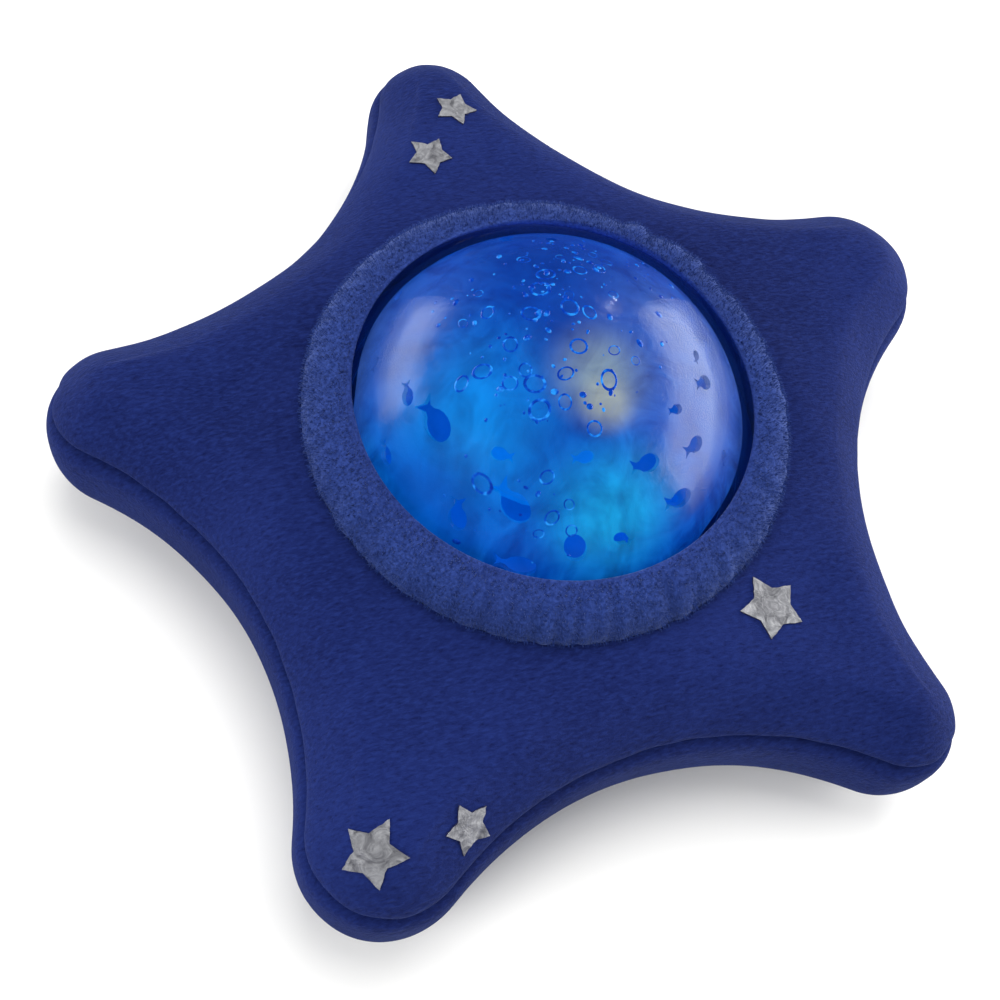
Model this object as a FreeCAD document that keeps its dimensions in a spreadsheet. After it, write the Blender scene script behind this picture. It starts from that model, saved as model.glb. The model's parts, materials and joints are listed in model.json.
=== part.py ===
"""Star night light projector: a stuffed star cover that lifts off a round lamp unit.

The origin lies on the dome's axis at the surface that the lamp stands on. +Z is up and
+Y points along the arm that carries the two small silver stars. All sizes are in mm.
"""
import FreeCAD, Part
import math
import os
import re
import Sketcher

Vector = FreeCAD.Vector
doc = FreeCAD.newDocument("star_night_light")
sheet = doc.addObject("Spreadsheet::Sheet", "Sizes")

# Driving dimensions: name, size, what it is
SIZES = [
    ("star_reach", 150, "axis to the end of an arm"),
    ("arm_tip_radius", 22, "rounding of an arm's end"),
    ("star_waist", 101.3, "axis to the edge between two arms"),
    ("collar_reach", 6, "from the collar's seam up to the top of the dome's skirt"),
    ("widest_height", 31, "height where the star is widest"),
    ("edge_round", 27, "how far the star draws in towards its top and base"),
    ("crown_drop", 2.5, "fall of the top from the collar to the shoulder"),
    ("shoulder_drop", 6, "from the shoulder down to the side of the star"),
    ("base_inset", 23, "how far the flat base lies inside the widest outline"),
    ("upper_seam", 43, "height of the seam under the face panel"),
    ("lower_seam", 12, "height of the seam over the base panel"),
    ("seam_depth", 2, "how deep the upper seam is drawn in"),
    ("panel_thickness", 1.6, "velour panels"),
    ("well_clearance", 1.5, "between the lamp housing and the lining of the well"),
    ("lining_thickness", 1.2, "lining of the well"),
    ("collar_seam_step", 2.8, "seam of the fleece collar outside the well lining"),
    ("collar_rise", 11.9, "height of the collar over its seam"),
    ("fleece_thickness", 1.3, "collar cover"),
    ("collar_gap", 0.9, "between the collar padding and the dome skirt"),
    ("patch_thickness", 0.6, "silver star patches"),
    ("large_patch_radius", 9, "large silver stars, centre to point"),
    ("small_patch_radius", 6.8, "small silver stars, centre to point"),
    ("shell_wall", 2.2, "moulded walls of the housing"),
    ("unit_clearance", 2, "housing floor over the surface it stands on"),
    ("chip_room", 3.4, "between the main board and the deck plate"),
    ("upper_height", 16, "upper housing, from the joint to the ledge under the dome"),
    ("ledge_thickness", 2, "ledge that carries the dome"),
    ("dome_radius", 64, "outside of the clear dome"),
    ("dome_wall", 2, "clear dome"),
    ("skirt_rise", 22, "from the domes' centre to where they turn into their skirts"),
    ("flange_width", 3, "clear dome's foot"),
    ("flange_thickness", 2, "clear dome's foot"),
    ("ring_height", 4, "retaining ring"),
    ("ring_wall", 2.2, "retaining ring outside the dome flange"),
    ("ring_gap", 0.2, "between the retaining ring and the dome"),
    ("dome_gap", 2, "between the two domes"),
    ("fish_wall", 1.6, "pierced dome"),
    ("table_rise", 8, "top of the turntable over the deck"),
    ("deck_drop", 3, "underside of the deck plate under the housing joint"),
    ("deck_thickness", 2, "deck plate"),
    ("deck_gap", 0.1, "between the deck plate and the screw columns"),
    ("track_step", 3.8, "turntable track inside the skirt of the pierced dome"),
    ("track_wall", 1.7, "turntable track"),
    ("track_height", 4.7, "turntable track over the deck"),
    ("running_gap", 0.3, "under the turntable flange"),
    ("spin_clearance", 0.08, "radial clearance of what turns"),
    ("table_rim", 6.3, "turntable rim outside the pitch line of its teeth"),
    ("ring_teeth", 44, "inside teeth of the turntable"),
    ("pinion_teeth", 12, "teeth of the motor pinion"),
    ("tooth_backlash", 0.5, "play between the teeth along the pitch line"),
    ("pinion_angle", 320, "where the motor stands, from +X"),
    ("pinion_length", 6, "motor pinion"),
    ("motor_radius", 10, "motor can"),
    ("motor_length", 16, "motor can with its gearbox"),
    ("shaft_radius", 1.5, "motor shaft"),
    ("tower_radius", 13, "light tower on the deck"),
    ("tower_height", 7, "light tower on the deck"),
    ("board_thickness", 1.6, "circuit boards"),
    ("light_board_radius", 15, "round light board"),
    ("lamp_radius", 2.5, "light-emitting diode"),
    ("lamp_height", 4, "light-emitting diode"),
    ("lamp_ring", 6.5, "circle that the diodes stand on"),
    ("lamp_count", 3, "diodes on the light board"),
    ("reflector_height", 12, "reflector cup"),
    ("reflector_mouth", 25, "reflector cup at its mouth"),
    ("reflector_wall", 1, "reflector cup"),
    ("lens_thickness", 2.4, "ripple lens"),
    ("cell_radius", 7.1, "battery cell, size AA"),
    ("cell_length", 49.5, "battery cell, size AA"),
    ("cell_pitch", 15, "from cell to cell"),
    ("cell_count", 3, "battery cells"),
    ("battery_y", 18, "middle of the battery bay"),
    ("contact_room", 3.25, "between the cells and the ends of the bay"),
    ("bay_play", 2, "battery bay wider than its cells"),
    ("bay_wall", 1.5, "battery bay"),
    ("bay_height", 16, "battery bay over the housing floor"),
    ("door_thickness", 1.6, "battery door"),
    ("door_gap", 0.3, "round the battery door and the switches"),
    ("speaker_radius", 18, "loudspeaker"),
    ("speaker_height", 9, "loudspeaker"),
    ("speaker_y", -36, "middle of the loudspeaker"),
    ("grille_slot", 2, "width of a sound slot"),
    ("grille_pitch", 4.5, "from slot to slot"),
    ("grille_length", 22, "sound slots"),
    ("grille_count", 5, "sound slots"),
    ("main_board_length", 52, "main board"),
    ("main_board_width", 32, "main board"),
    ("main_board_gap", 1.8, "main board over the battery bay"),
    ("post_inset", 4, "spacers of the main board inside its edges"),
    ("screw_radius", 1.5, "housing screws"),
    ("screw_head_radius", 2.6, "housing screws"),
    ("screw_head_height", 2, "housing screws"),
    ("boss_radius", 3.2, "screw bosses"),
    ("deck_screw_radius", 2.2, "heads of the deck screws"),
    ("deck_screw_gap", 0.3, "between the deck screws and the track"),
    ("foot_radius", 5, "rubber feet"),
    ("foot_edge", 6.5, "rubber feet inside the edge of the base"),
    ("foot_recess", 1, "how deep a foot sits in the floor"),
    ("button_radius", 4, "push buttons"),
    ("button_travel", 0.8, "push buttons"),
    ("button_proud", 0.8, "push buttons under the floor"),
    ("button_flange", 1, "push button's collar inside the floor"),
    ("slider_travel", 6, "power slider"),
    ("slider_length", 6, "power slider knob"),
    ("slider_width", 4, "power slider knob"),
    ("socket_length", 9, "charging socket"),
    ("socket_width", 3.6, "charging socket"),
    ("socket_height", 7, "charging socket"),
]

# Lengths that follow from the driving dimensions
DERIVED = {
    "floor_top": "unit_clearance + shell_wall",
    "inner_radius": "unit_radius - shell_wall",
    "dome_top": "dome_centre + dome_radius",
    "skirt_radius": "sqrt(dome_radius ^ 2 - skirt_rise ^ 2)",
    "skirt_bore": "skirt_radius - dome_wall",
    "unit_radius": "skirt_radius + flange_width + ring_gap + ring_wall",
    "base_height": "main_board_height + board_thickness + chip_room + deck_drop",
    "ledge_height": "base_height + upper_height",
    "plush_height": "skirt_top - collar_reach",
    "foot_ring": "unit_radius - foot_radius - foot_edge",
    "dome_centre": "ledge_height",
    "skirt_top": "dome_centre + skirt_rise",
    "fish_radius": "dome_radius - dome_wall - dome_gap",
    "deck_height": "base_height - deck_drop",
    "fish_seat": "deck_top + table_rise",
    "boss_ring": "inner_radius - boss_radius + ring_gap",
    "deck_radius": "boss_ring - boss_radius - deck_gap",
    "deck_boss_ring": "track_radius + deck_screw_radius + deck_screw_gap",
    "track_radius": "fish_skirt - track_step",
    "well_radius": "unit_radius + well_clearance",
    "collar_seam_radius": "well_outer + collar_seam_step",
    "bay_length": "cell_length + 2 * contact_room",
    "bay_width": "cell_pitch * cell_count + bay_play",
    "main_board_height": "bay_top + main_board_gap",
    "deck_top": "deck_height + deck_thickness",
    "track_top": "deck_top + track_height",
    "track_bore": "track_radius - track_wall",
    "fish_skirt": "sqrt(fish_radius ^ 2 - skirt_rise ^ 2)",
    "ring_pitch": "track_bore - table_rim",
    "tooth_module": "2 * ring_pitch / ring_teeth",
    "pinion_pitch": "tooth_module * pinion_teeth / 2",
    "pinion_offset": "ring_pitch - pinion_pitch",
    "pinion_x": "pinion_offset * cos(pinion_angle)",
    "pinion_y": "pinion_offset * sin(pinion_angle)",
    "tower_top": "deck_top + tower_height",
    "lamp_foot": "tower_top + board_thickness",
    "lens_seat": "lamp_foot + reflector_height",
    "bay_top": "floor_top + bay_height",
    "collar_centre": "collar_seam_radius - collar_rise",
    "well_outer": "well_radius + lining_thickness",
    "button_reach": "unit_clearance - button_proud",
}

BUTTONS = {"music_button": (32, -26), "timer_button": (42, -12)}
SLIDER_PLACE = (-36, -22)
SOCKET_PLACE = (-44, -2)
SECTORS = (18, 90, 162, 234, 306)
HALF_SECTOR = 36

names = set()
for row, (alias, value, note) in enumerate(SIZES, start=1):
    sheet.set("A%d" % row, note)
    sheet.set("B%d" % row, str(value))
    sheet.setAlias("B%d" % row, alias)
    names.add(alias)
doc.recompute()

parts = []


def bound(expression):
    """Spell a formula out in cells of the sheet."""
    def spell(match):
        word = match.group(0)
        if word in DERIVED:
            return "(" + bound(DERIVED[word]) + ")"
        return "Sizes." + word if word in names else word
    return re.sub(r"[a-z_]+", spell, str(expression))


def size(expression):
    """The value of a formula."""
    return float(sheet.evalExpression(bound(expression)))


def bind(thing, prop, expression):
    thing.setExpression(prop, bound(expression))


def keep(thing, label):
    """Put an object on the list of pieces, under its own name."""
    thing.Label = label
    parts.append(thing)
    return thing


def add_constraint(sketch, kind, where, expression):
    """A dimension in a sketch, bound to the sheet."""
    number = sketch.addConstraint(Sketcher.Constraint(kind, *where, size(expression)))
    sketch.setExpression("Constraints[%d]" % number, bound(expression))


def add_circle(sketch, x, y, radius):
    centre = Vector(size(x), size(y), 0)
    edge = sketch.addGeometry(Part.Circle(centre, Vector(0, 0, 1), size(radius)), False)
    add_constraint(sketch, "Radius", (edge,), radius)
    add_constraint(sketch, "DistanceX", (-1, 1, edge, 3), x)
    add_constraint(sketch, "DistanceY", (-1, 1, edge, 3), y)


def add_outline(sketch, corners):
    """A closed outline of straight edges through corners given as formulas."""
    spots = [Vector(size(x), size(y), 0) for x, y in corners]
    first = sketch.GeometryCount
    for spot, following in zip(spots, spots[1:] + spots[:1]):
        sketch.addGeometry(Part.LineSegment(spot, following), False)
    for step, (x, y) in enumerate(corners):
        following = first + (step + 1) % len(corners)
        sketch.addConstraint(Sketcher.Constraint("Coincident", first + step, 2, following, 1))
        add_constraint(sketch, "DistanceX", (-1, 1, first + step, 1), x)
        add_constraint(sketch, "DistanceY", (-1, 1, first + step, 1), y)


def box_corners(x, y, length, width):
    """Corners of a rectangle about its middle."""
    left, right = "(%s) - (%s) / 2" % (x, length), "(%s) + (%s) / 2" % (x, length)
    front, back = "(%s) - (%s) / 2" % (y, width), "(%s) + (%s) / 2" % (y, width)
    return [(left, front), (right, front), (right, back), (left, back)]


def new_sketch(body, role, loops, height="0"):
    """A sketch on a plane of the body; a loop is a circle (x, y, radius) or a list of corners."""
    plane = [part for part in body.Origin.OriginFeatures if part.Role == role][0]
    sketch = body.newObject("Sketcher::SketchObject", body.Name + "_outline")
    sketch.AttachmentSupport = [(plane, "")]
    sketch.MapMode = "FlatFace"
    if role == "XY_Plane":
        bind(sketch, ".AttachmentOffset.Base.z", height)
    for loop in loops:
        if isinstance(loop, tuple):
            add_circle(sketch, *loop)
        else:
            add_outline(sketch, loop)
    return sketch


def turned(label, corners):
    """A piece turned about the dome's axis; corners are (radius, height)."""
    body = keep(doc.addObject("PartDesign::Body", label), label)
    sketch = new_sketch(body, "XZ_Plane", [corners])
    feature = body.newObject("PartDesign::Revolution", label + "_turn")
    feature.Profile = sketch
    feature.ReferenceAxis = (sketch, ["V_Axis"])
    feature.Angle = 360
    doc.recompute()
    return body


def raised(body, loops, height, length):
    """Material that rises from a height."""
    sketch = new_sketch(body, "XY_Plane", loops, height)
    feature = body.newObject("PartDesign::Pad", body.Name + "_pad")
    feature.Profile = sketch
    bind(feature, "Length", length)
    doc.recompute()
    return feature


def sunk(body, loops, height, depth):
    """A cut that goes down from a height."""
    sketch = new_sketch(body, "XY_Plane", loops, height)
    feature = body.newObject("PartDesign::Pocket", body.Name + "_cut")
    feature.Profile = sketch
    bind(feature, "Length", depth)
    doc.recompute()
    return feature


def round_the_axis(body, feature, count):
    """Copies of a feature round the dome's axis."""
    pattern = body.newObject("PartDesign::PolarPattern", body.Name + "_ring")
    pattern.Originals = [feature]
    pattern.Axis = (feature.Profile[0], ["N_Axis"])
    pattern.Angle = 360
    bind(pattern, "Occurrences", count)
    body.Tip = pattern
    doc.recompute()


def plate(label, loops, height, thickness):
    """A flat piece with the given outlines."""
    body = keep(doc.addObject("PartDesign::Body", label), label)
    raised(body, loops, height, thickness)
    return body


def cylinder(name, radius, height, spot):
    """An upright cylinder that stands on a spot (x, y, z)."""
    solid = doc.addObject("Part::Cylinder", name)
    bind(solid, "Radius", radius)
    bind(solid, "Height", height)
    for axis, place in zip("xyz", spot):
        bind(solid, ".Placement.Base." + axis, place)
    return solid


def block(name, middle, lengths, foot):
    """An upright box about a middle (x, y) that stands on a height."""
    solid = doc.addObject("Part::Box", name)
    for prop, length in zip(("Length", "Width", "Height"), lengths):
        bind(solid, prop, length)
    bind(solid, ".Placement.Base.x", "(%s) - (%s) / 2" % (middle[0], lengths[0]))
    bind(solid, ".Placement.Base.y", "(%s) - (%s) / 2" % (middle[1], lengths[1]))
    bind(solid, ".Placement.Base.z", foot)
    return solid


def joined(name, pieces):
    """Several solids melted into one."""
    solid = doc.addObject("Part::MultiFuse", name)
    solid.Shapes = pieces
    return solid


def cut_from(name, base, tool):
    solid = doc.addObject("Part::Cut", name)
    solid.Base = base
    solid.Tool = tool
    return solid


def set_of(label, pieces):
    """Like pieces that stay separate solids in one node."""
    group = doc.addObject("Part::Compound", label)
    group.Links = pieces
    return keep(group, label)


def on_ring(radius, angle):
    """Place on a circle about the axis, as formulas."""
    return "(%s) * cos(%s)" % (radius, angle), "(%s) * sin(%s)" % (radius, angle)


def ball_profile(radius, start_height, steps):
    """Corners along a ball from its foot circle up to its crown, in equal turns."""
    rise = "asin((%s - dome_centre) / (%s))" % (start_height, radius)
    corners = []
    for step in range(steps + 1):
        turn = "(%s + (90 deg - %s) * %d / %d)" % (rise, rise, step, steps)
        across = "0" if step == steps else "(%s) * cos(%s)" % (radius, turn)
        corners.append((across, "dome_centre + (%s) * sin(%s)" % (radius, turn)))
    return corners


SIDES = 48


def flat_faces(a, b, c, d):
    """One flat face on four corners, or two where they don't lie in a plane."""
    lift = (b - a).cross(c - a).normalize().dot(d - a)
    outlines = [(a, b, c, d, a)] if abs(lift) < 1e-6 else [(a, b, c, a), (a, c, d, a)]
    return [Part.Face(Part.makePolygon(outline)) for outline in outlines]


def skinned(levels):
    """A solid through closed rings of corners, from the lowest up; one corner is a tip."""
    faces = [Part.Face(Part.makePolygon(ring + ring[:1]))
             for ring in (levels[0], levels[-1]) if len(ring) > 1]
    for low, high in zip(levels, levels[1:]):
        for side in range(len(low)):
            a, b = low[side], low[(side + 1) % len(low)]
            if len(high) == 1:
                faces.append(Part.Face(Part.makePolygon([a, b, high[0], a])))
            else:
                faces += flat_faces(a, b, high[(side + 1) % len(low)], high[side])
    shell = Part.makeShell(faces)
    shell.sewShape()
    return Part.makeSolid(shell)


def many_sided(rings, sides=SIDES):
    """A round form with flat sides through rings (radius, height); radius 0 closes it."""
    levels = []
    for radius, height in rings:
        if radius < 0.01:
            levels.append([Vector(0, 0, height)])
            continue
        turns = [2 * math.pi * side / sides for side in range(sides)]
        levels.append([Vector(radius * math.cos(t), radius * math.sin(t), height) for t in turns])
    return skinned(levels)


def sizes_of(corners):
    return [(size(x), size(y)) for x, y in corners]


def shaped(label, shape):
    """A piece whose shape is worked out from the sheet."""
    feature = doc.addObject("Part::Feature", label)
    feature.Shape = shape
    return keep(feature, label)


# Outline of the star: ten arcs that run into each other, five round the arm tips and five
# hollow ones between them, each in a few chords
TIP_CHORDS = 6
HOLLOW_CHORDS = 5


def star_ring(inset, height):
    reach = size("star_reach") - inset
    tip = size("arm_tip_radius") - inset * size("arm_tip_radius") / size("edge_round") * 0.55
    waist = size("star_waist") - inset * 0.9
    return tangent_star(reach, tip, waist, height)


def tangent_star(reach, tip, waist, height):
    centre = reach - tip
    half = math.cos(math.radians(HALF_SECTOR))
    top = tip ** 2 - waist ** 2 + 2 * waist * centre * half - centre ** 2
    bottom = 2 * (waist - centre * half - tip)
    hollow = top / bottom
    spots = []
    for start in SECTORS:
        arm, left, right = [math.radians(start + turn) for turn in (0, HALF_SECTOR, -HALF_SECTOR)]
        tip_centre = Vector(centre * math.cos(arm), centre * math.sin(arm), height)
        joints = []
        for side in (right, left):
            well = Vector(math.cos(side), math.sin(side), 0) * (waist + hollow)
            well.z = height
            joints.append(tip_centre + (well - tip_centre) * (tip / (tip + hollow)))
        end = Vector(reach * math.cos(arm), reach * math.sin(arm), height)
        middle = Vector(waist * math.cos(left), waist * math.sin(left), height)
        following = FreeCAD.Rotation(Vector(0, 0, 1), 2 * HALF_SECTOR).multVec(joints[0])
        spots += chords(joints[0], end, joints[1], TIP_CHORDS)
        spots += chords(joints[1], middle, following, HOLLOW_CHORDS)
    return spots


def chords(start, middle, end, count):
    """Points that divide the arc through three points, without its last one."""
    return Part.Arc(start, middle, end).toShape().discretize(Number=count + 1)[:-1]


def round_ring(radius, height):
    """A circle in chords that answer the chords of the star."""
    spots = []
    for start in SECTORS:
        for first, last, count in ((-18, 18, TIP_CHORDS), (18, 54, HOLLOW_CHORDS)):
            turns = [math.radians(start + turn) for turn in (first, (first + last) / 2, last)]
            ends = [Vector(radius * math.cos(t), radius * math.sin(t), height) for t in turns]
            spots += chords(*ends, count)
    return spots


def edge_inset(height):
    """How far the rounded edge lies inside the widest outline at a height."""
    middle = size("widest_height")
    share = min(abs(height - middle) / middle, 1)
    return size("edge_round") * (1 - math.sqrt(1 - share ** 2))


def skin_sections(depth, low, high):
    """Outlines of the stuffed star, a depth under its surface, between two heights."""
    top, seam, foot = size("plush_height"), size("upper_seam"), size("lower_seam")
    shoulder = top - size("crown_drop")
    levels = [
        (depth, size("base_inset")),
        (foot, edge_inset(foot)),
        (size("widest_height"), 0),
        (seam, edge_inset(seam) + size("seam_depth") * (depth == 0)),
        (shoulder - size("edge_round") * 0.22, edge_inset(shoulder - size("shoulder_drop"))),
        (shoulder - depth, size("edge_round") * 0.62),
    ]
    wires = [star_ring(inset + depth, level) for level, inset in levels if low <= level <= high]
    if high >= top - depth:
        wires.append(round_ring(size("collar_seam_radius"), top - depth))
    return wires


def stuffed(depth, low, high):
    return skinned(skin_sections(depth, low, high))


def well_cutter(radius):
    height = size("plush_height") * 2
    return many_sided([(radius, -height), (radius, height)])


def make_cover():
    """The velour panels, the stuffing and the silver patches of the star."""
    top, seam, foot = size("plush_height"), size("upper_seam"), size("lower_seam")
    cloth = size("panel_thickness")
    bore = well_cutter(size("well_outer"))
    shapes = {
        "star_face_panel": stuffed(0, seam, top).cut(stuffed(cloth, seam, top)).cut(bore),
        "star_side_band": stuffed(0, foot, seam).cut(stuffed(cloth, foot, seam)),
        "star_base_panel": stuffed(0, 0, foot).cut(stuffed(cloth, cloth, foot)).cut(
            well_cutter(size("well_radius"))),
        "star_filling": stuffed(cloth, cloth, top - cloth).cut(bore),
    }
    lifted = stuffed(0, seam, top)
    lifted.translate(Vector(0, 0, size("patch_thickness")))
    patch_layer = lifted.cut(stuffed(0, seam, top))
    start, reach = size("collar_seam_radius"), size("star_reach")
    for name, (way, share, turn, large) in PATCHES.items():
        radius = size("large_patch_radius" if large else "small_patch_radius")
        spot = FreeCAD.Rotation(Vector(0, 0, 1), way).multVec(Vector(1, 0, 0))
        prism = patch_prism(spot * (start + share * (reach - start)), turn, radius)
        shapes[name] = prism.common(patch_layer)
    for name, shape in shapes.items():
        shaped(name, shape.Solids[0])


# Silver stars on the face: direction, share of the way from the collar's seam to the end of
# the arm, turn, and whether it is one of the large ones
PATCHES = {
    "silver_star_top": (88, 0.545, 59, False),
    "silver_star_upper": (95.6, 0.34, 51, False),
    "silver_star_right": (-58.1, 0.166, 32, True),
    "silver_star_lower": (233.6, 0.76, 49, True),
    "silver_star_edge": (242, 0.57, 39, False),
}


def patch_prism(middle, turn, radius):
    """A five-pointed star standing through the face."""
    spots = []
    for step in range(10):
        reach = radius * (1 if step % 2 == 0 else 0.5)
        angle = math.radians(turn + 36 * step)
        spots.append(middle + Vector(math.cos(angle), math.sin(angle), 0) * reach)
    outline = Part.makePolygon(spots + spots[:1])
    return Part.Face(outline).extrude(Vector(0, 0, size("plush_height") * 2))


def make_collar():
    tube = [many_sided(sizes_of([(radius, "panel_thickness"), (radius, "plush_height")]))
            for radius in ("well_outer", "well_radius")]
    shaped("well_lining", tube[0].cut(tube[1]))

    def roll(radius, turn):
        return ("collar_centre + (%s) * cos(%d)" % (radius, turn),
                "plush_height + (%s) * sin(%d)" % (radius, turn))
    outside = [roll("collar_rise", turn) for turn in (0, 22, 45, 67, 90)]
    inside = [roll("collar_rise - fleece_thickness", turn) for turn in (90, 67, 45, 22, 0)]
    fleece = many_sided(sizes_of(outside)).cut(many_sided(sizes_of(inside[::-1])))
    core = "skirt_radius + collar_gap"
    hollow = many_sided(sizes_of([(core, "plush_height"), (core, "plush_height + collar_rise * 2")]))
    shaped("collar_fleece", fleece.cut(many_sided(sizes_of(
        [("collar_centre", "plush_height"), ("collar_centre", "plush_height + collar_rise * 2")]))))
    shaped("collar_padding", many_sided(sizes_of(inside[::-1])).cut(hollow))


def make_base_shell():
    shell = turned("base_shell", [
        ("0", "unit_clearance"), ("unit_radius", "unit_clearance"), ("unit_radius", "base_height"),
        ("inner_radius", "base_height"), ("inner_radius", "floor_top"), ("0", "floor_top")])
    bay = [box_corners("0", "battery_y", "bay_length + 2 * bay_wall", "bay_width + 2 * bay_wall"),
           box_corners("0", "battery_y", "bay_length", "bay_width")]
    raised(shell, bay, "floor_top", "bay_height - bay_wall")
    posts = raised(shell, [("deck_boss_ring * cos(45)", "deck_boss_ring * sin(45)", "boss_radius")],
                   "floor_top", "deck_height - floor_top")
    round_the_axis(shell, posts, "4")
    for spot in (("46.5", "-29"), ("30.5", "-11")):
        raised(shell, [spot + ("2",)], "floor_top", "4")
    columns = raised(shell, [("boss_ring", "0", "boss_radius")], "floor_top", "deck_top - floor_top")
    round_the_axis(shell, columns, "4")
    heads = sunk(shell, [("boss_ring", "0", "screw_head_radius + door_gap")],
                 "unit_clearance + screw_head_height", "screw_head_height")
    round_the_axis(shell, heads, "4")
    bores = sunk(shell, [("boss_ring", "0", "screw_radius + 0.1")], "deck_top", "deck_top")
    round_the_axis(shell, bores, "4")
    feet = sunk(shell, [on_ring("foot_ring", "67.5") + ("foot_radius",)],
                "unit_clearance + foot_recess", "foot_recess")
    round_the_axis(shell, feet, "4")
    openings = [box_corners("0", "battery_y", "bay_length", "bay_width")]
    openings.append(box_corners(*SLIDER_PLACE, "slider_width + 2 * door_gap",
                                "slider_length + slider_travel + 2 * door_gap"))
    openings.append(box_corners(*SOCKET_PLACE, "socket_length", "socket_width"))
    openings += [(x, y, "button_radius + door_gap") for x, y in BUTTONS.values()]
    sunk(shell, openings, "floor_top", "shell_wall * 2")
    slots = [box_corners("0", "speaker_y + grille_pitch * (%d - (grille_count - 1) / 2)" % number,
                         "grille_length", "grille_slot") for number in range(int(size("grille_count")))]
    sunk(shell, slots, "floor_top", "shell_wall * 2")


def make_upper_housing():
    tongue = "inner_radius - 0.15"
    housing = turned("upper_housing", [
        (tongue, "deck_top + 0.2"), (tongue, "base_height"), ("unit_radius", "base_height"),
        ("unit_radius", "ledge_height"), ("skirt_bore", "ledge_height"),
        ("skirt_bore", "ledge_height - ledge_thickness"),
        ("inner_radius", "ledge_height - ledge_thickness"),
        ("inner_radius", "base_height + shell_wall"),
        ("inner_radius - shell_wall", "base_height + shell_wall"),
        ("inner_radius - shell_wall", "deck_top + 0.2")])
    bosses = raised(housing, [("boss_ring", "0", "boss_radius - 0.4")],
                    "deck_top + 0.2", "ledge_height - deck_top - 1")
    round_the_axis(housing, bosses, "4")
    bores = sunk(housing, [("boss_ring", "0", "screw_radius")], "deck_top + 8", "8")
    round_the_axis(housing, bores, "4")


def make_domes():
    """The clear dome on its flange, and the ring that holds it down."""
    foot = "ledge_height + flange_thickness"
    rim = "skirt_radius + flange_width"
    blank = many_sided(sizes_of([(rim, "ledge_height"), (rim, foot), ("skirt_radius", foot)]
                                + ball_profile("dome_radius", "skirt_top", 8)))
    room = many_sided(sizes_of([("skirt_bore", "ledge_height - 1")] + ball_profile(
        "dome_radius - dome_wall", "skirt_top", 6)))
    shaped("outer_dome", blank.cut(room))
    top, neck = "ledge_height + ring_height", "skirt_radius + ring_gap"
    ring = many_sided(sizes_of([("unit_radius", "ledge_height"), ("unit_radius", top)]))
    wide = rim + " + ring_gap"
    bore = many_sided(sizes_of([(wide, "ledge_height - 1"), (wide, foot), (neck, foot),
                                (neck, top + " + 1")]))
    shaped("dome_ring", ring.cut(bore))


# Fish in the pierced dome: azimuth, height angle above the dome's centre, length, turn
FISH = [
    (-14, 55, 6, 70), (-22, 42, 6.5, 40), (-47, 57, 6, 10), (-51, 46, 8.5, 20), (-33, 35, 8, -60),
    (-74, 52, 10, 25), (-66, 36, 12, 15), (-88, 32, 8, -30), (-128, 42, 14, 170), (-118, 26, 12, 20),
    (-143, 31, 9, -70), (-166, 44, 13, -70), (164, 32, 8, 40), (134, 30, 8, 60), (100, 32, 10, 20),
    (62, 34, 11, -15), (26, 36, 10, 30), (-4, 32, 8, -40),
]
# Bubbles: azimuth, height angle, radius
BUBBLES = [(-103, 34, 3.2), (44, 52, 2), (120, 48, 2), (-175, 60, 2)]
BUBBLE_SIDES = 10


def fish_outline(length):
    """A plump fish with a forked tail, its nose along +X, in short straight edges."""
    spots = [Vector(length * (0.1 + 0.34 * math.cos(turn)), length * 0.26 * math.sin(turn), 0)
             for turn in [math.radians(-140 + 40 * step) for step in range(8)]]
    for along, across in ((-0.5, 0.22), (-0.38, 0), (-0.5, -0.22)):
        spots.append(Vector(length * along, length * across, 0))
    return Part.makePolygon(spots + spots[:1])


def bubble_outline(radius):
    turns = [2 * math.pi * side / BUBBLE_SIDES for side in range(BUBBLE_SIDES + 1)]
    return Part.makePolygon([Vector(math.cos(turn), math.sin(turn), 0) * radius for turn in turns])


def piercing(wire, azimuth, rise, turn):
    """A cutter with the outline of a wire that points out through the dome's wall."""
    radius = size("fish_radius")
    cutter = Part.Face(wire).extrude(Vector(0, 0, radius * 0.3))
    cutter.translate(Vector(0, 0, radius * 0.85))
    cutter.rotate(Vector(), Vector(0, 0, 1), turn)
    cutter.rotate(Vector(), Vector(0, 1, 0), 90 - rise)
    cutter.rotate(Vector(), Vector(0, 0, 1), azimuth)
    cutter.translate(Vector(0, 0, size("dome_centre")))
    return cutter


def make_fish_dome():
    """The blue dome that turns, pierced with fish and bubbles."""
    outside = [("fish_skirt", "fish_seat")] + ball_profile("fish_radius", "skirt_top", 7)
    inside = [("fish_skirt - fish_wall", "fish_seat - 1")] + ball_profile(
        "fish_radius - fish_wall", "skirt_top", 5)
    blank = many_sided(sizes_of(outside)).cut(many_sided(sizes_of(inside)))
    cutters = [piercing(fish_outline(length), azimuth, rise, turn)
               for azimuth, rise, length, turn in FISH]
    for azimuth, rise, radius in BUBBLES:
        cutters.append(piercing(bubble_outline(radius), azimuth, rise, 0))
    shaped("fish_dome", blank.cut(cutters).Solids[0])


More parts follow.
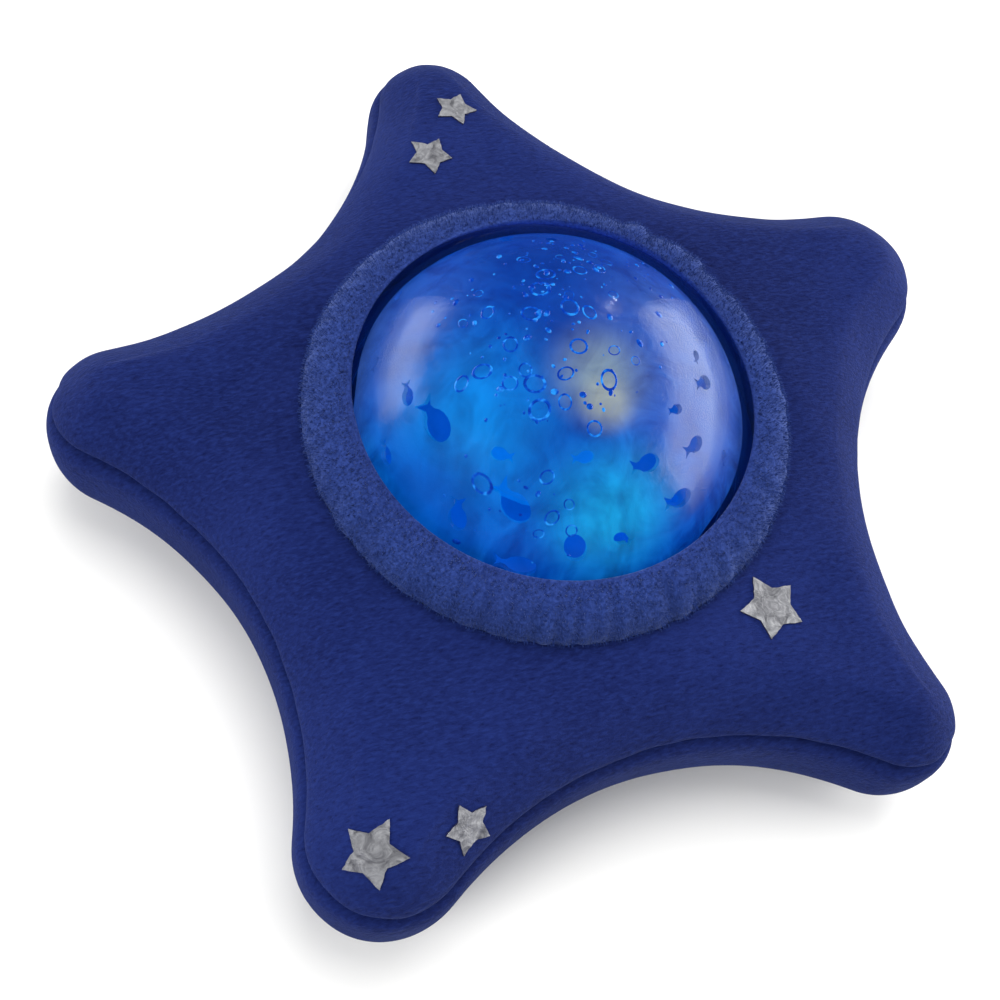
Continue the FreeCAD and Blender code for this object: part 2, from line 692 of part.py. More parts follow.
def make_turntable():
    """The ring under the pierced dome, with teeth inside for the motor pinion."""
    flange = "track_top + running_gap"
    rim = "track_bore - spin_clearance"
    tips = "ring_pitch - tooth_module"
    table = turned("turntable", [
        (tips, "fish_seat - pinion_length"), (rim, "fish_seat - pinion_length"), (rim, flange),
        ("fish_skirt", flange), ("fish_skirt", "fish_seat"), (tips, "fish_seat")])
    wide = "tooth_module * 0.785 + tooth_backlash / 2"
    gap = [("ring_pitch - 1.2 * tooth_module", "-(%s + 0.36 * 1.2 * tooth_module)" % wide),
           ("ring_pitch + 1.1 * tooth_module", "-(%s - 0.36 * 1.1 * tooth_module)" % wide),
           ("ring_pitch + 1.1 * tooth_module", "%s - 0.36 * 1.1 * tooth_module" % wide),
           ("ring_pitch - 1.2 * tooth_module", "%s + 0.36 * 1.2 * tooth_module" % wide)]
    teeth = sunk(table, [gap], "fish_seat", "pinion_length")
    round_the_axis(table, teeth, "ring_teeth")


def make_drive():
    body = keep(doc.addObject("PartDesign::Body", "motor_pinion"), "motor_pinion")
    foot = "fish_seat - pinion_length"
    raised(body, [("0", "0", "pinion_pitch + 0.65 * tooth_module"), ("0", "0", "shaft_radius")],
           foot, "pinion_length")
    wide = "tooth_module * 0.785 + tooth_backlash / 2"
    gap = [("pinion_pitch - 1.15 * tooth_module", "-(%s - 0.42 * 1.15 * tooth_module)" % wide),
           ("pinion_pitch + 1.1 * tooth_module", "-(%s + 0.42 * 1.1 * tooth_module)" % wide),
           ("pinion_pitch + 1.1 * tooth_module", "%s + 0.42 * 1.1 * tooth_module" % wide),
           ("pinion_pitch - 1.15 * tooth_module", "%s - 0.42 * 1.15 * tooth_module" % wide)]
    teeth = sunk(body, [gap], "fish_seat", "pinion_length")
    round_the_axis(body, teeth, "pinion_teeth")
    bind(body, ".Placement.Base.x", "pinion_x")
    bind(body, ".Placement.Base.y", "pinion_y")
    body.Placement.Rotation = FreeCAD.Rotation(Vector(0, 0, 1), 1)
    ring_step = "360 / ring_teeth"
    lead = "(pinion_angle - round(pinion_angle / (%s)) * %s)" % (ring_step, ring_step)
    bind(body, ".Placement.Rotation.Angle",
         "pinion_angle - %s * ring_teeth / pinion_teeth - 180 / pinion_teeth" % lead)
    can_foot = "deck_height - motor_length"
    shaft = cylinder("motor_shaft", "shaft_radius", "fish_seat - deck_height + 8",
                     ("pinion_x", "pinion_y", "deck_height - 8"))
    keep(shaft, "motor_shaft")
    can = cylinder("motor_can", "motor_radius", "motor_length", ("pinion_x", "pinion_y", can_foot))
    bush = cylinder("motor_bush", "shaft_radius + 0.05", "motor_length",
                    ("pinion_x", "pinion_y", "deck_height - 8.2"))
    keep(cut_from("gear_motor", can, bush), "gear_motor")


def make_deck():
    deck = turned("deck_plate", [
        ("0", "deck_height"), ("deck_radius", "deck_height"), ("deck_radius", "deck_top"),
        ("track_radius", "deck_top"), ("track_radius", "track_top"), ("track_bore", "track_top"),
        ("track_bore", "deck_top"), ("0", "deck_top")])
    sunk(deck, [("pinion_x", "pinion_y", "shaft_radius + 1.5")], "deck_top", "deck_thickness")
    holes = sunk(deck, [on_ring("deck_boss_ring", "45") + ("1.2",)], "deck_top", "deck_thickness")
    round_the_axis(deck, holes, "4")
    walls = [many_sided(sizes_of([(radius, "deck_top"), (radius, "tower_top")]), 24)
             for radius in ("tower_radius", "tower_radius - shell_wall")]
    shaped("light_tower", walls[0].cut(walls[1]))
    plate("light_board", [("0", "0", "light_board_radius")], "tower_top", "board_thickness")
    lamps = []
    for number in range(int(size("lamp_count"))):
        x, y = on_ring("lamp_ring", "360 / lamp_count * %d" % number)
        lamps.append(cylinder("lamp_%d" % (number + 1), "lamp_radius", "lamp_height",
                              (x, y, "lamp_foot")))
    set_of("light_diodes", lamps)
    cup = [("light_board_radius", "lamp_foot"), ("reflector_mouth", "lens_seat")]
    hollow = [(radius + " - reflector_wall", height) for radius, height in cup]
    shaped("reflector_cup", many_sided(sizes_of(cup), 24).cut(many_sided(sizes_of(hollow), 24)))
    crest = "lens_seat + lens_thickness"
    dip = "lens_seat + lens_thickness / 2"
    share = "reflector_mouth / 5 * "
    shaped("ripple_lens", many_sided(sizes_of([
        ("reflector_mouth", "lens_seat"), ("reflector_mouth", crest), (share + "4", crest),
        (share + "4", dip), (share + "2", dip), (share + "2", crest), (share + "1", crest),
        (share + "1", dip)]), 24))


def make_power():
    half = "bay_length / 2"
    cells = []
    for number in range(int(size("cell_count"))):
        y = "battery_y + cell_pitch * (%d - (cell_count - 1) / 2)" % number
        cell = doc.addObject("Part::Cylinder", "cell_%d" % (number + 1))
        bind(cell, "Radius", "cell_radius")
        bind(cell, "Height", "cell_length")
        cell.Placement.Rotation = FreeCAD.Rotation(Vector(0, 1, 0), 90)
        bind(cell, ".Placement.Base.x", "-cell_length / 2")
        bind(cell, ".Placement.Base.y", y)
        bind(cell, ".Placement.Base.z", "floor_top + cell_radius + door_gap")
        cells.append(cell)
    set_of("battery_cells", cells)
    tabs = []
    for side in (-1, 1):
        gap = "(bay_length - cell_length) / 2"
        for number in range(int(size("cell_count"))):
            y = "battery_y + cell_pitch * (%d - (cell_count - 1) / 2)" % number
            tab = block("contact_%d_%d" % (side, number),
                        ("%d * (%s - %s / 2)" % (side, half, gap), y), (gap, "6", "8"),
                        "floor_top + 3")
            tabs.append(tab)
    set_of("battery_contacts", tabs)
    plate("bay_lid", [box_corners("0", "battery_y", "bay_length + 2 * bay_wall",
                                  "bay_width + 2 * bay_wall")], "bay_top - bay_wall", "bay_wall")
    plate("battery_door", [box_corners("0", "battery_y", "bay_length - 2 * door_gap",
                                       "bay_width - 2 * door_gap")],
          "unit_clearance", "door_thickness")


def make_electronics():
    plate("main_board", [box_corners("0", "battery_y", "main_board_length", "main_board_width")],
          "main_board_height", "board_thickness")
    board_top = "main_board_height + board_thickness"
    posts = []
    for x in (-1, 1):
        for y in (-1, 1):
            corner = ("%d * (main_board_length / 2 - post_inset)" % x,
                      "battery_y + %d * (main_board_width / 2 - post_inset)" % y)
            posts.append(cylinder("post_%d_%d" % (x, y), "post_inset / 2", "chip_room",
                                  corner + (board_top,)))
    set_of("board_spacers", posts)
    chips = [
        block("sound_chip", ("-8", "battery_y"), ("12", "12", "1.6"), board_top),
        block("memory_chip", ("10", "battery_y + 5"), ("8", "6", "1.4"), board_top),
        block("crystal", ("8", "battery_y - 6"), ("9", "4", "2.4"), board_top)]
    set_of("board_chips", chips)
    make_speaker()
    plate("button_board", [box_corners("38.5", "-20", "22", "24")], "floor_top + 4", "board_thickness")
    keys = [block("key_" + name, place, ("6", "6", "1.6"), "floor_top + 2.4")
            for name, place in BUTTONS.items()]
    set_of("key_switches", keys)


def make_speaker():
    """The basket on the floor with the magnet on its back."""
    body = keep(doc.addObject("PartDesign::Body", "speaker"), "speaker")
    raised(body, [("0", "speaker_y", "speaker_radius")], "floor_top", "speaker_height / 2")
    raised(body, [("0", "speaker_y", "speaker_radius * 0.6")], "floor_top + speaker_height / 2",
           "speaker_height / 2")


def make_controls():
    for name, (x, y) in BUTTONS.items():
        stem = cylinder(name + "_stem", "button_radius", "floor_top + button_flange - button_reach",
                        (x, y, "button_reach"))
        collar = cylinder(name + "_collar", "button_radius + button_flange", "button_flange",
                          (x, y, "floor_top + 0.1"))
        keep(joined(name, [stem, collar]), name)
    x, y = SLIDER_PLACE
    start = "%d - slider_travel / 2" % y
    knob = block("slider_knob", (x, start),
                 ("slider_width", "slider_length", "floor_top + 0.1 - button_reach"), "button_reach")
    shoe = block("slider_shoe", (x, start), ("slider_width + 3", "slider_length", "1"), "floor_top + 0.1")
    keep(joined("power_slider", [knob, shoe]), "power_slider")
    case = block("switch_case", (x, y), ("slider_width + 8", "slider_length + slider_travel + 5", "6"),
                 "floor_top")
    room = block("switch_room", (x, y), ("slider_width + 5", "slider_length + slider_travel + 2", "3"),
                 "floor_top - 0.1")
    keep(cut_from("power_switch", case, room), "power_switch")
    x, y = SOCKET_PLACE
    case = block("socket_case", (x, y), ("socket_length", "socket_width", "socket_height"),
                 "unit_clearance + 0.4")
    room = block("socket_room", (x, y), ("socket_length - 1", "socket_width - 1", "socket_height - 1.5"),
                 "unit_clearance + 0.3")
    keep(cut_from("charge_socket", case, room), "charge_socket")


def make_fasteners():
    screws = []
    for number in range(4):
        x, y = on_ring("boss_ring", "90 * %d" % number)
        head = cylinder("screw_head_%d" % number, "screw_head_radius", "screw_head_height - 0.4",
                        (x, y, "unit_clearance + 0.4"))
        shank = cylinder("screw_shank_%d" % number, "screw_radius", "deck_top + 7 - unit_clearance",
                         (x, y, "unit_clearance + 0.4"))
        screws.append(joined("screw_%d" % number, [head, shank]))
    set_of("housing_screws", screws)
    screws = []
    for number in range(4):
        x, y = on_ring("deck_boss_ring", "45 + 90 * %d" % number)
        screws.append(cylinder("deck_screw_%d" % number, "deck_screw_radius", "1.6",
                               (x, y, "deck_top")))
    set_of("deck_screws", screws)
    feet = []
    for number in range(4):
        x, y = on_ring("foot_ring", "67.5 + 90 * %d" % number)
        feet.append(cylinder("foot_%d" % number, "foot_radius", "unit_clearance + foot_recess",
                             (x, y, "0")))
    set_of("rubber_feet", feet)


make_cover()
make_collar()
make_base_shell()
make_upper_housing()
make_domes()
make_fish_dome()
make_turntable()
make_drive()
make_deck()
make_power()
make_electronics()
make_controls()
make_fasteners()

doc.recompute()
for thing in doc.Objects:
    if "Invalid" in thing.State or "Error" in thing.State:
        raise RuntimeError("failed object " + thing.Name)
for part in parts:
    if part.Shape.isNull() or not part.Shape.isValid():
        raise RuntimeError("bad shape " + part.Label)
os.makedirs("parts", exist_ok=True)
for part in parts:
    part.Shape.exportStep("parts/" + part.Label + ".step")
    print("%-18s %2d solids %9.0f mm3" % (part.Label, len(part.Shape.Solids), part.Shape.Volume))
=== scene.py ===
"""The star night light with its finishes: velour star, fleece collar, clear and pierced domes."""
import json
import math
import random

import bmesh
import bpy
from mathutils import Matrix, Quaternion, Vector, noise
from mathutils.bvhtree import BVHTree


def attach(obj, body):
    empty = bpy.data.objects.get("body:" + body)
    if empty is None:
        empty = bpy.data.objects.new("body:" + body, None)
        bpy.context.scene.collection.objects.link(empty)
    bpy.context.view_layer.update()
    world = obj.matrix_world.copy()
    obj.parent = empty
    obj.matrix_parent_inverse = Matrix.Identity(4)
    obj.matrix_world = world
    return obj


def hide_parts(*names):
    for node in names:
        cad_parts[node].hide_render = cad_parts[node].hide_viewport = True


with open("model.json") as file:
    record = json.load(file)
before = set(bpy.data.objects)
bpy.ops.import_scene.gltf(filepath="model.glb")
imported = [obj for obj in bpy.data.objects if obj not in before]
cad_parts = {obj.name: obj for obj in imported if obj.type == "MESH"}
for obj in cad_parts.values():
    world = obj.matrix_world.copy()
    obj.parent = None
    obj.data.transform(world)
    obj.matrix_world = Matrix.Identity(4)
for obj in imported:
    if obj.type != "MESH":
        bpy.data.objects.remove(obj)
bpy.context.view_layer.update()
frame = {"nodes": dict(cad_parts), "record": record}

MM = 0.001
SEED = 7

# Heights and radii that the looks share with the frame, in mm
WIDEST = 31.0
TOP = 62.0
SEAM = 45.0
WELL = 67.6
COLLAR_SEAM = 71.0
COLLAR_RISE = 12.0
COLLAR_CENTRE = COLLAR_SEAM - COLLAR_RISE
DOME_CENTRE = 46.0
DOME_RADIUS = 64.0
DOME_WALL = 2.0
FISH_RADIUS = 60.0
FISH_WALL = 1.6
SKIRT_TOP = 68.0
FISH_FOOT = 37.0


# Materials
class Finish:
    """A node material with one Principled shader and short names for the nodes it needs."""

    def __init__(self, name, **sockets):
        self.material = bpy.data.materials.new(name)
        self.material.use_nodes = True
        self.nodes = self.material.node_tree.nodes
        self.links = self.material.node_tree.links
        self.shader = self.nodes["Principled BSDF"]
        self.output = self.nodes["Material Output"]
        for socket, value in sockets.items():
            self.shader.inputs[socket.replace("_", " ")].default_value = value

    def link(self, start, end):
        self.links.new(start, end)

    def place(self, scale=(1, 1, 1), turn=(0, 0, 0)):
        """Object coordinates, stretched and turned."""
        coordinates = self.nodes.new("ShaderNodeTexCoord")
        mapping = self.nodes.new("ShaderNodeMapping")
        mapping.inputs["Scale"].default_value = scale
        mapping.inputs["Rotation"].default_value = turn
        self.link(coordinates.outputs["Object"], mapping.inputs["Vector"])
        return mapping.outputs["Vector"]

    def noise(self, scale, detail=2.0, rough=0.5, where=None, distort=0.0):
        """A cloudy factor on the piece, or on stretched coordinates."""
        texture = self.nodes.new("ShaderNodeTexNoise")
        texture.inputs["Scale"].default_value = scale
        texture.inputs["Detail"].default_value = detail
        texture.inputs["Roughness"].default_value = rough
        texture.inputs["Distortion"].default_value = distort
        self.link(where or self.place(), texture.inputs["Vector"])
        return texture.outputs["Fac"]

    def cells(self, scale, feature, where):
        """Distances in a cell pattern."""
        texture = self.nodes.new("ShaderNodeTexVoronoi")
        texture.feature = feature
        texture.inputs["Scale"].default_value = scale
        self.link(where, texture.inputs["Vector"])
        return texture.outputs["Distance"]

    def ramp(self, factor, stops):
        """Colours along a factor; stops are (place, colour)."""
        ramp = self.nodes.new("ShaderNodeValToRGB")
        entries = ramp.color_ramp.elements
        while len(entries) < len(stops):
            entries.new(0.5)
        for entry, (place, colour) in zip(entries, stops):
            entry.position = place
            entry.color = (*colour, 1.0)
        self.link(factor, ramp.inputs["Fac"])
        return ramp.outputs["Color"]

    def spread(self, factor, low, high, start=0.0, end=1.0):
        """A factor stretched from low..high to start..end."""
        spread = self.nodes.new("ShaderNodeMapRange")
        limits = {"From Min": low, "From Max": high, "To Min": start, "To Max": end}
        for socket, value in limits.items():
            spread.inputs[socket].default_value = value
        self.link(factor, spread.inputs["Value"])
        return spread.outputs["Result"]

    def blend(self, factor, first, second, mode="MIX"):
        """Two colours mixed; a colour may be a socket or a value."""
        mix = self.nodes.new("ShaderNodeMix")
        mix.data_type = "RGBA"
        mix.blend_type = mode
        sockets = [socket for socket in mix.inputs if socket.type == "RGBA"]
        for socket, colour in zip(sockets, (first, second)):
            if isinstance(colour, tuple):
                socket.default_value = (*colour, 1.0)
            else:
                self.link(colour, socket)
        if isinstance(factor, float):
            mix.inputs["Factor"].default_value = factor
        else:
            self.link(factor, mix.inputs["Factor"])
        return [socket for socket in mix.outputs if socket.type == "RGBA"][0]

    def grey(self, factor):
        """A factor as a grey colour."""
        return self.ramp(factor, [(0.0, (0.0, 0.0, 0.0)), (1.0, (1.0, 1.0, 1.0))])

    def maths(self, operation, first, second):
        """Two factors or numbers put together, by the operation's name."""
        node = self.nodes.new("ShaderNodeMath")
        node.operation = operation
        for socket, value in zip(node.inputs, (first, second)):
            if isinstance(value, (int, float)):
                socket.default_value = value
            else:
                self.link(value, socket)
        return node.outputs["Value"]

    def bump(self, heights):
        """Stacked bumps; each is (height socket, depth in metres, strength)."""
        normal = None
        for height, depth, strength in heights:
            node = self.nodes.new("ShaderNodeBump")
            node.inputs["Distance"].default_value = depth
            node.inputs["Strength"].default_value = strength
            self.link(height, node.inputs["Height"])
            if normal is not None:
                self.link(normal, node.inputs["Normal"])
            normal = node.outputs["Normal"]
        self.link(normal, self.shader.inputs["Normal"])

    def colour(self, socket):
        """Where the shader takes its colour from."""
        self.link(socket, self.shader.inputs["Base Color"])


def velour_finish():
    """Short-pile navy velour with a brushed nap."""
    finish = Finish("navy_velour", Roughness=0.85, Sheen_Weight=0.10, Sheen_Roughness=0.4,
                    Specular_IOR_Level=0.08, Sheen_Tint=(0.3, 0.42, 1.0, 1))
    nap = finish.place((450, 1300, 800), (0, 0, math.radians(28)))
    hatch = finish.noise(1.0, 3.0, 0.6, nap, 0.4)
    patches = finish.noise(16.0, 3.0, 0.55)
    pile = finish.noise(1700.0, 2.0, 0.7)
    tone = finish.blend(finish.spread(patches, 0.35, 0.7), (0.0060, 0.0118, 0.074),
                        (0.0088, 0.0172, 0.102))
    tone = finish.blend(finish.spread(hatch, 0.45, 0.72, 0.0, 0.7), tone, (0.0135, 0.028, 0.150))
    tone = finish.blend(finish.spread(hatch, 0.42, 0.25, 0.0, 0.75), tone, (0.0030, 0.0055, 0.040))
    finish.colour(tone)
    finish.bump([(patches, 0.0025, 0.4), (hatch, 0.0007, 0.6), (pile, 0.0003, 0.5)])
    return finish.material


def fleece_finish():
    """Periwinkle fleece, lighter at the ends of its pile."""
    finish = Finish("collar_fleece", Roughness=0.9, Sheen_Weight=0.3, Sheen_Roughness=0.45,
                    Specular_IOR_Level=0.06, Sheen_Tint=(0.45, 0.58, 1.0, 1))
    fine = finish.noise(1100.0, 3.0, 0.65)
    wide = finish.noise(60.0, 2.0, 0.5)
    tone = finish.blend(finish.spread(fine, 0.3, 0.72), (0.007, 0.017, 0.092), (0.034, 0.066, 0.27))
    tone = finish.blend(finish.spread(wide, 0.35, 0.7, 0.0, 0.35), tone, (0.014, 0.028, 0.14))
    finish.colour(tone)
    finish.bump([(fine, 0.0005, 0.7)])
    return finish.material


def silver_finish():
    """Crinkled metallic cloth, with painted shade in the hollows of its folds."""
    finish = Finish("silver_lame", Metallic=0.3, Roughness=0.48)
    crinkle = finish.cells(330.0, "F1", finish.place((1, 1.6, 1)))
    folds = finish.noise(240.0, 4.0, 0.65, distort=1.2)
    thread = finish.noise(1800.0, 2.0, 0.5)
    # Painted shade: the colour follows the folds' bump, darker where the folds sink in
    tone = finish.ramp(folds, [(0.30, (0.09, 0.09, 0.10)), (0.5, (0.25, 0.25, 0.26)),
                               (0.70, (0.42, 0.42, 0.43))])
    finish.colour(tone)
    finish.bump([(folds, 0.0012, 0.8), (crinkle, 0.0006, 0.6), (thread, 0.0002, 0.5)])
    return finish.material


def edge_finish():
    """Dark bonded edge under the silver patches."""
    finish = Finish("patch_edge", Roughness=0.8)
    finish.colour(finish.blend(finish.noise(900.0), (0.01, 0.012, 0.05), (0.03, 0.03, 0.07)))
    return finish.material


def clear_finish():
    """Clear polished plastic that turns blue where the eye looks along the wall."""
    finish = Finish("clear_dome", Roughness=0.03, Specular_IOR_Level=0.4, Alpha=0.13)
    haze = finish.noise(30.0, 2.0, 0.5)
    finish.colour(finish.blend(finish.spread(haze, 0.3, 0.7), (0.0, 0.012, 0.09),
                               (0.0, 0.02, 0.12)))
    depth = finish.nodes.new("ShaderNodeVolumeAbsorption")
    depth.inputs["Color"].default_value = (0.10, 0.42, 1.0, 1)
    depth.inputs["Density"].default_value = 45.0
    finish.link(depth.outputs["Volume"], finish.output.inputs["Volume"])
    return finish.material


# Painted glow and painted shade on the pierced dome's emission, standing in for the lamps inside:
# azimuth, height angle, reach in mm, colour, strength
PAINTED_GLOW_AND_SHADE = (
    (88, 62, 46, (0.0, 0.006, 0.110), 0.95),
    (-140, 86, 26, (0.0, 0.010, 0.160), 0.8),
    (-122, 68, 18, (0.0, 0.020, 0.200), 0.85),
    (-116, 52, 15, (0.0, 0.030, 0.250), 0.8),
    (-160, 50, 40, (0.0, 0.330, 0.820), 1.0),
    (-90, 42, 27, (0.010, 0.52, 0.84), 1.0),
    (-77, 77, 19, (0.36, 0.44, 0.20), 0.95),
    (-85, 70, 10, (0.62, 0.62, 0.20), 0.8),
    (-150, 28, 30, (0.0, 0.090, 0.480), 0.7),
    (-12, 48, 52, (0.100, 0.145, 0.300), 0.92),
    (150, 32, 42, (0.050, 0.110, 0.320), 0.88),
)


def on_ball(azimuth, rise, radius):
    """A point on a ball about the domes' centre, in metres."""
    turn, lift = math.radians(azimuth), math.radians(rise)
    across = radius * math.cos(lift)
    return Vector((across * math.cos(turn), across * math.sin(turn),
                   DOME_CENTRE + radius * math.sin(lift))) * MM


def fish_dome_finish():
    """Glossy blue plastic with painted glow in soft spots, standing in for the lamps inside, and
    painted shade in dark spots and blotches.
    """
    finish = Finish("blue_dome", Roughness=0.22, Specular_IOR_Level=0.5, Coat_Weight=0.4,
                    Coat_Roughness=0.14, Emission_Strength=1.0)
    swirl = finish.noise(30.0, 5.0, 0.62, distort=2.2)
    flow = finish.noise(1.0, 4.0, 0.6, finish.place((90, 90, 22)), 1.2)
    blots = finish.cells(85.0, "SMOOTH_F1", finish.place((1, 1, 0.8)))
    finish.colour(finish.ramp(swirl, [(0.3, (0.002, 0.010, 0.10)), (0.7, (0.004, 0.05, 0.26))]))
    # Painted glow: the emission stands in for the lamps' light through the dome, in flowing streaks
    light = finish.ramp(flow, [(0.30, (0.0, 0.022, 0.24)), (0.50, (0.0, 0.070, 0.42)),
                               (0.70, (0.003, 0.135, 0.58))])
    coordinates = finish.place()
    # Each entry paints a spot of glow or of shade into the emission
    for azimuth, rise, reach, colour, strength in PAINTED_GLOW_AND_SHADE:
        away = finish.nodes.new("ShaderNodeVectorMath")
        away.operation = "DISTANCE"
        away.inputs[1].default_value = on_ball(azimuth, rise, FISH_RADIUS)
        finish.link(coordinates, away.inputs[0])
        share = finish.spread(away.outputs["Value"], reach * MM, 0.0)
        share.node.interpolation_type = "SMOOTHSTEP"
        share = finish.maths("MULTIPLY", share, finish.spread(swirl, 0.25, 0.6, 0.5, 1.1))
        share = finish.maths("MINIMUM", share, strength)
        light = finish.blend(share, light, colour)
    # Painted shade: blotches and streaks darken the painted glow
    spots = finish.spread(blots, 0.05, 0.45, 0.62, 1.0)
    streaks = finish.spread(flow, 0.3, 0.65, 0.75, 1.1)
    shade = finish.grey(finish.maths("MULTIPLY", spots, streaks))
    light = finish.blend(1.0, light, shade, "MULTIPLY")
    finish.link(light, finish.shader.inputs["Emission Color"])
    finish.bump([(swirl, 0.0016, 0.25), (flow, 0.0010, 0.25)])
    return finish.material


def bubble_finish():
    """Clear blue rings and drops with painted glints: colour and emission brighter in noisy
    patches.
    """
    finish = Finish("bubble_drops", Roughness=0.08, Coat_Weight=1.0, Coat_Roughness=0.04,
                    Emission_Strength=1.0)
    # Painted glints: the same noise brightens the colour and paints the emission
    glint = finish.noise(420.0, 2.0, 0.6)
    finish.colour(finish.blend(glint, (0.001, 0.012, 0.16), (0.004, 0.05, 0.35)))
    light = finish.ramp(glint, [(0.38, (0.0, 0.015, 0.20)), (0.52, (0.0, 0.08, 0.46)),
                                (0.66, (0.03, 0.42, 0.95))])
    finish.link(light, finish.shader.inputs["Emission Color"])
    return finish.material


def moulded_finish(name, dark, light, rough=0.45):
    """Moulded plastic or rubber with a fine grain and slight shade changes."""
    finish = Finish(name, Roughness=rough)
    wide = finish.noise(25.0, 2.0, 0.5)
    fine = finish.noise(1800.0, 2.0, 0.6)
    finish.colour(finish.blend(finish.spread(wide, 0.3, 0.7), dark, light))
    finish.bump([(fine, 0.0001, 0.4)])
    return finish.material


def steel_finish():
    """Drawn steel with fine lines along it."""
    finish = Finish("steel", Metallic=1.0, Roughness=0.3)
    lines = finish.noise(1.0, 3.0, 0.6, finish.place((200, 200, 2600)))
    finish.colour(finish.blend(finish.spread(lines, 0.3, 0.7), (0.42, 0.42, 0.44),
                               (0.66, 0.66, 0.68)))
    finish.bump([(lines, 0.00005, 0.4)])
    return finish.material


def cloth_finish(name, dark, light):
    """Plain woven cloth."""
    finish = Finish(name, Roughness=0.85, Sheen_Weight=0.2)
    weave = finish.noise(1.0, 2.0, 0.5, finish.place((1500, 1500, 500)))
    cross = finish.noise(1.0, 2.0, 0.5, finish.place((500, 500, 1500)))
    both = finish.maths("MULTIPLY", weave, cross)
    finish.colour(finish.blend(finish.spread(both, 0.15, 0.4), dark, light))
    finish.bump([(both, 0.0002, 0.6)])
    return finish.material


def board_finish():
    """Green solder mask with copper runs."""
    finish = Finish("circuit_board", Roughness=0.35)
    runs = finish.cells(160.0, "DISTANCE_TO_EDGE", finish.place())
    finish.colour(finish.ramp(runs, [(0.0, (0.05, 0.20, 0.07)), (0.06, (0.012, 0.10, 0.035))]))
    finish.bump([(runs, 0.0001, 0.3)])
    return finish.material


def glow_painted_finish(name, light):
    """Plastic with a painted glow in its emission, standing in for the light of the diodes beside
    it.
    """
    finish = Finish(name, Roughness=0.2, Emission_Strength=1.0)
    tone = finish.noise(60.0, 3.0, 0.6, distort=1.0)
    brighter = tuple(2.2 * part for part in light)
    finish.colour(finish.blend(tone, (0.01, 0.05, 0.25), (0.02, 0.12, 0.45)))
    finish.link(finish.blend(tone, light, brighter), finish.shader.inputs["Emission Color"])
    return finish.material


def diode_finish():
    """Clear resin with the light in it."""
    finish = Finish("diode_resin", Roughness=0.15, Emission_Strength=2.0)
    glow = finish.noise(120.0)
    finish.colour(finish.blend(glow, (0.5, 0.8, 1.0), (0.7, 0.9, 1.0)))
    finish.link(finish.blend(glow, (0.1, 0.6, 1.0), (0.2, 0.8, 1.0)),
                finish.shader.inputs["Emission Color"])
    return finish.material


# Common steps
def rest_selection():
    """Back to object mode with nothing selected."""
    if bpy.context.object and bpy.context.object.mode != "OBJECT":
        bpy.ops.object.mode_set(mode="OBJECT")
    bpy.ops.object.select_all(action="DESELECT")


def choose(piece):
    """Only this piece selected and active."""
    rest_selection()
    piece.select_set(True)
    bpy.context.view_layer.objects.active = piece


def apply_all(piece):
    """Apply every modifier of a piece in turn."""
    choose(piece)
    for modifier in list(piece.modifiers):
        bpy.ops.object.modifier_apply(modifier=modifier.name)


def settle(piece):
    """Put a piece's place into its mesh."""
    choose(piece)
    bpy.ops.object.transform_apply(location=True, rotation=True, scale=True)


def dress(piece, name, material, body, replaced, smooth):
    """Name a finished piece, give it its material, body and the nodes that it stands for."""
    choose(piece)
    bpy.ops.object.shade_smooth_by_angle(angle=math.radians(smooth))
    piece.name = name
    piece.data.name = name
    piece.data.materials.clear()
    piece.data.materials.append(material)
    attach(piece, body)
    if replaced:
        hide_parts(*replaced)
    return piece


def turned_edges(name, corners, sides):
    """A shell spun round the axis from corners (radius, height) in mm, both ends open."""
    rest_selection()
    radius, height = corners[0]
    bpy.ops.mesh.primitive_circle_add(vertices=sides, radius=radius * MM,
                                      location=(0, 0, height * MM))
    piece = bpy.context.object
    piece.name = name
    settle(piece)
    bpy.ops.object.mode_set(mode="EDIT")
    for radius, height in corners[1:]:
        bpy.ops.mesh.extrude_edges_move()
        mesh = bmesh.from_edit_mesh(piece.data)
        for vert in mesh.verts:
            if vert.select:
                flat = Vector((vert.co.x, vert.co.y, 0)).normalized() * radius
                vert.co = Vector((flat.x, flat.y, height)) * MM
        bmesh.update_edit_mesh(piece.data)
    bpy.ops.object.mode_set(mode="OBJECT")
    return piece


def drawn(name, verts, faces):
    """A new piece from its vertices and faces."""
    mesh = bpy.data.meshes.new(name)
    mesh.from_pydata(verts, [], faces)
    piece = bpy.data.objects.new(name, mesh)
    bpy.context.collection.objects.link(piece)
    return piece


def outward(piece):
    """All faces of a closed piece point outwards."""
    choose(piece)
    bpy.ops.object.mode_set(mode="EDIT")
    bpy.ops.mesh.select_all(action="SELECT")
    bpy.ops.mesh.remove_doubles(threshold=0.00001)
    bpy.ops.mesh.normals_make_consistent(inside=False)
    bpy.ops.object.mode_set(mode="OBJECT")


def outward_up(piece):
    """An open shell's faces point up and out."""
    choose(piece)
    bpy.ops.object.mode_set(mode="EDIT")
    bpy.ops.mesh.select_all(action="SELECT")
    bpy.ops.mesh.normals_make_consistent(inside=False)
    bpy.ops.object.mode_set(mode="OBJECT")
    best = max(piece.data.polygons, key=lambda face: face.center.z)
    if best.normal.z < 0:
        bpy.ops.object.mode_set(mode="EDIT")
        bpy.ops.mesh.flip_normals()
        bpy.ops.object.mode_set(mode="OBJECT")


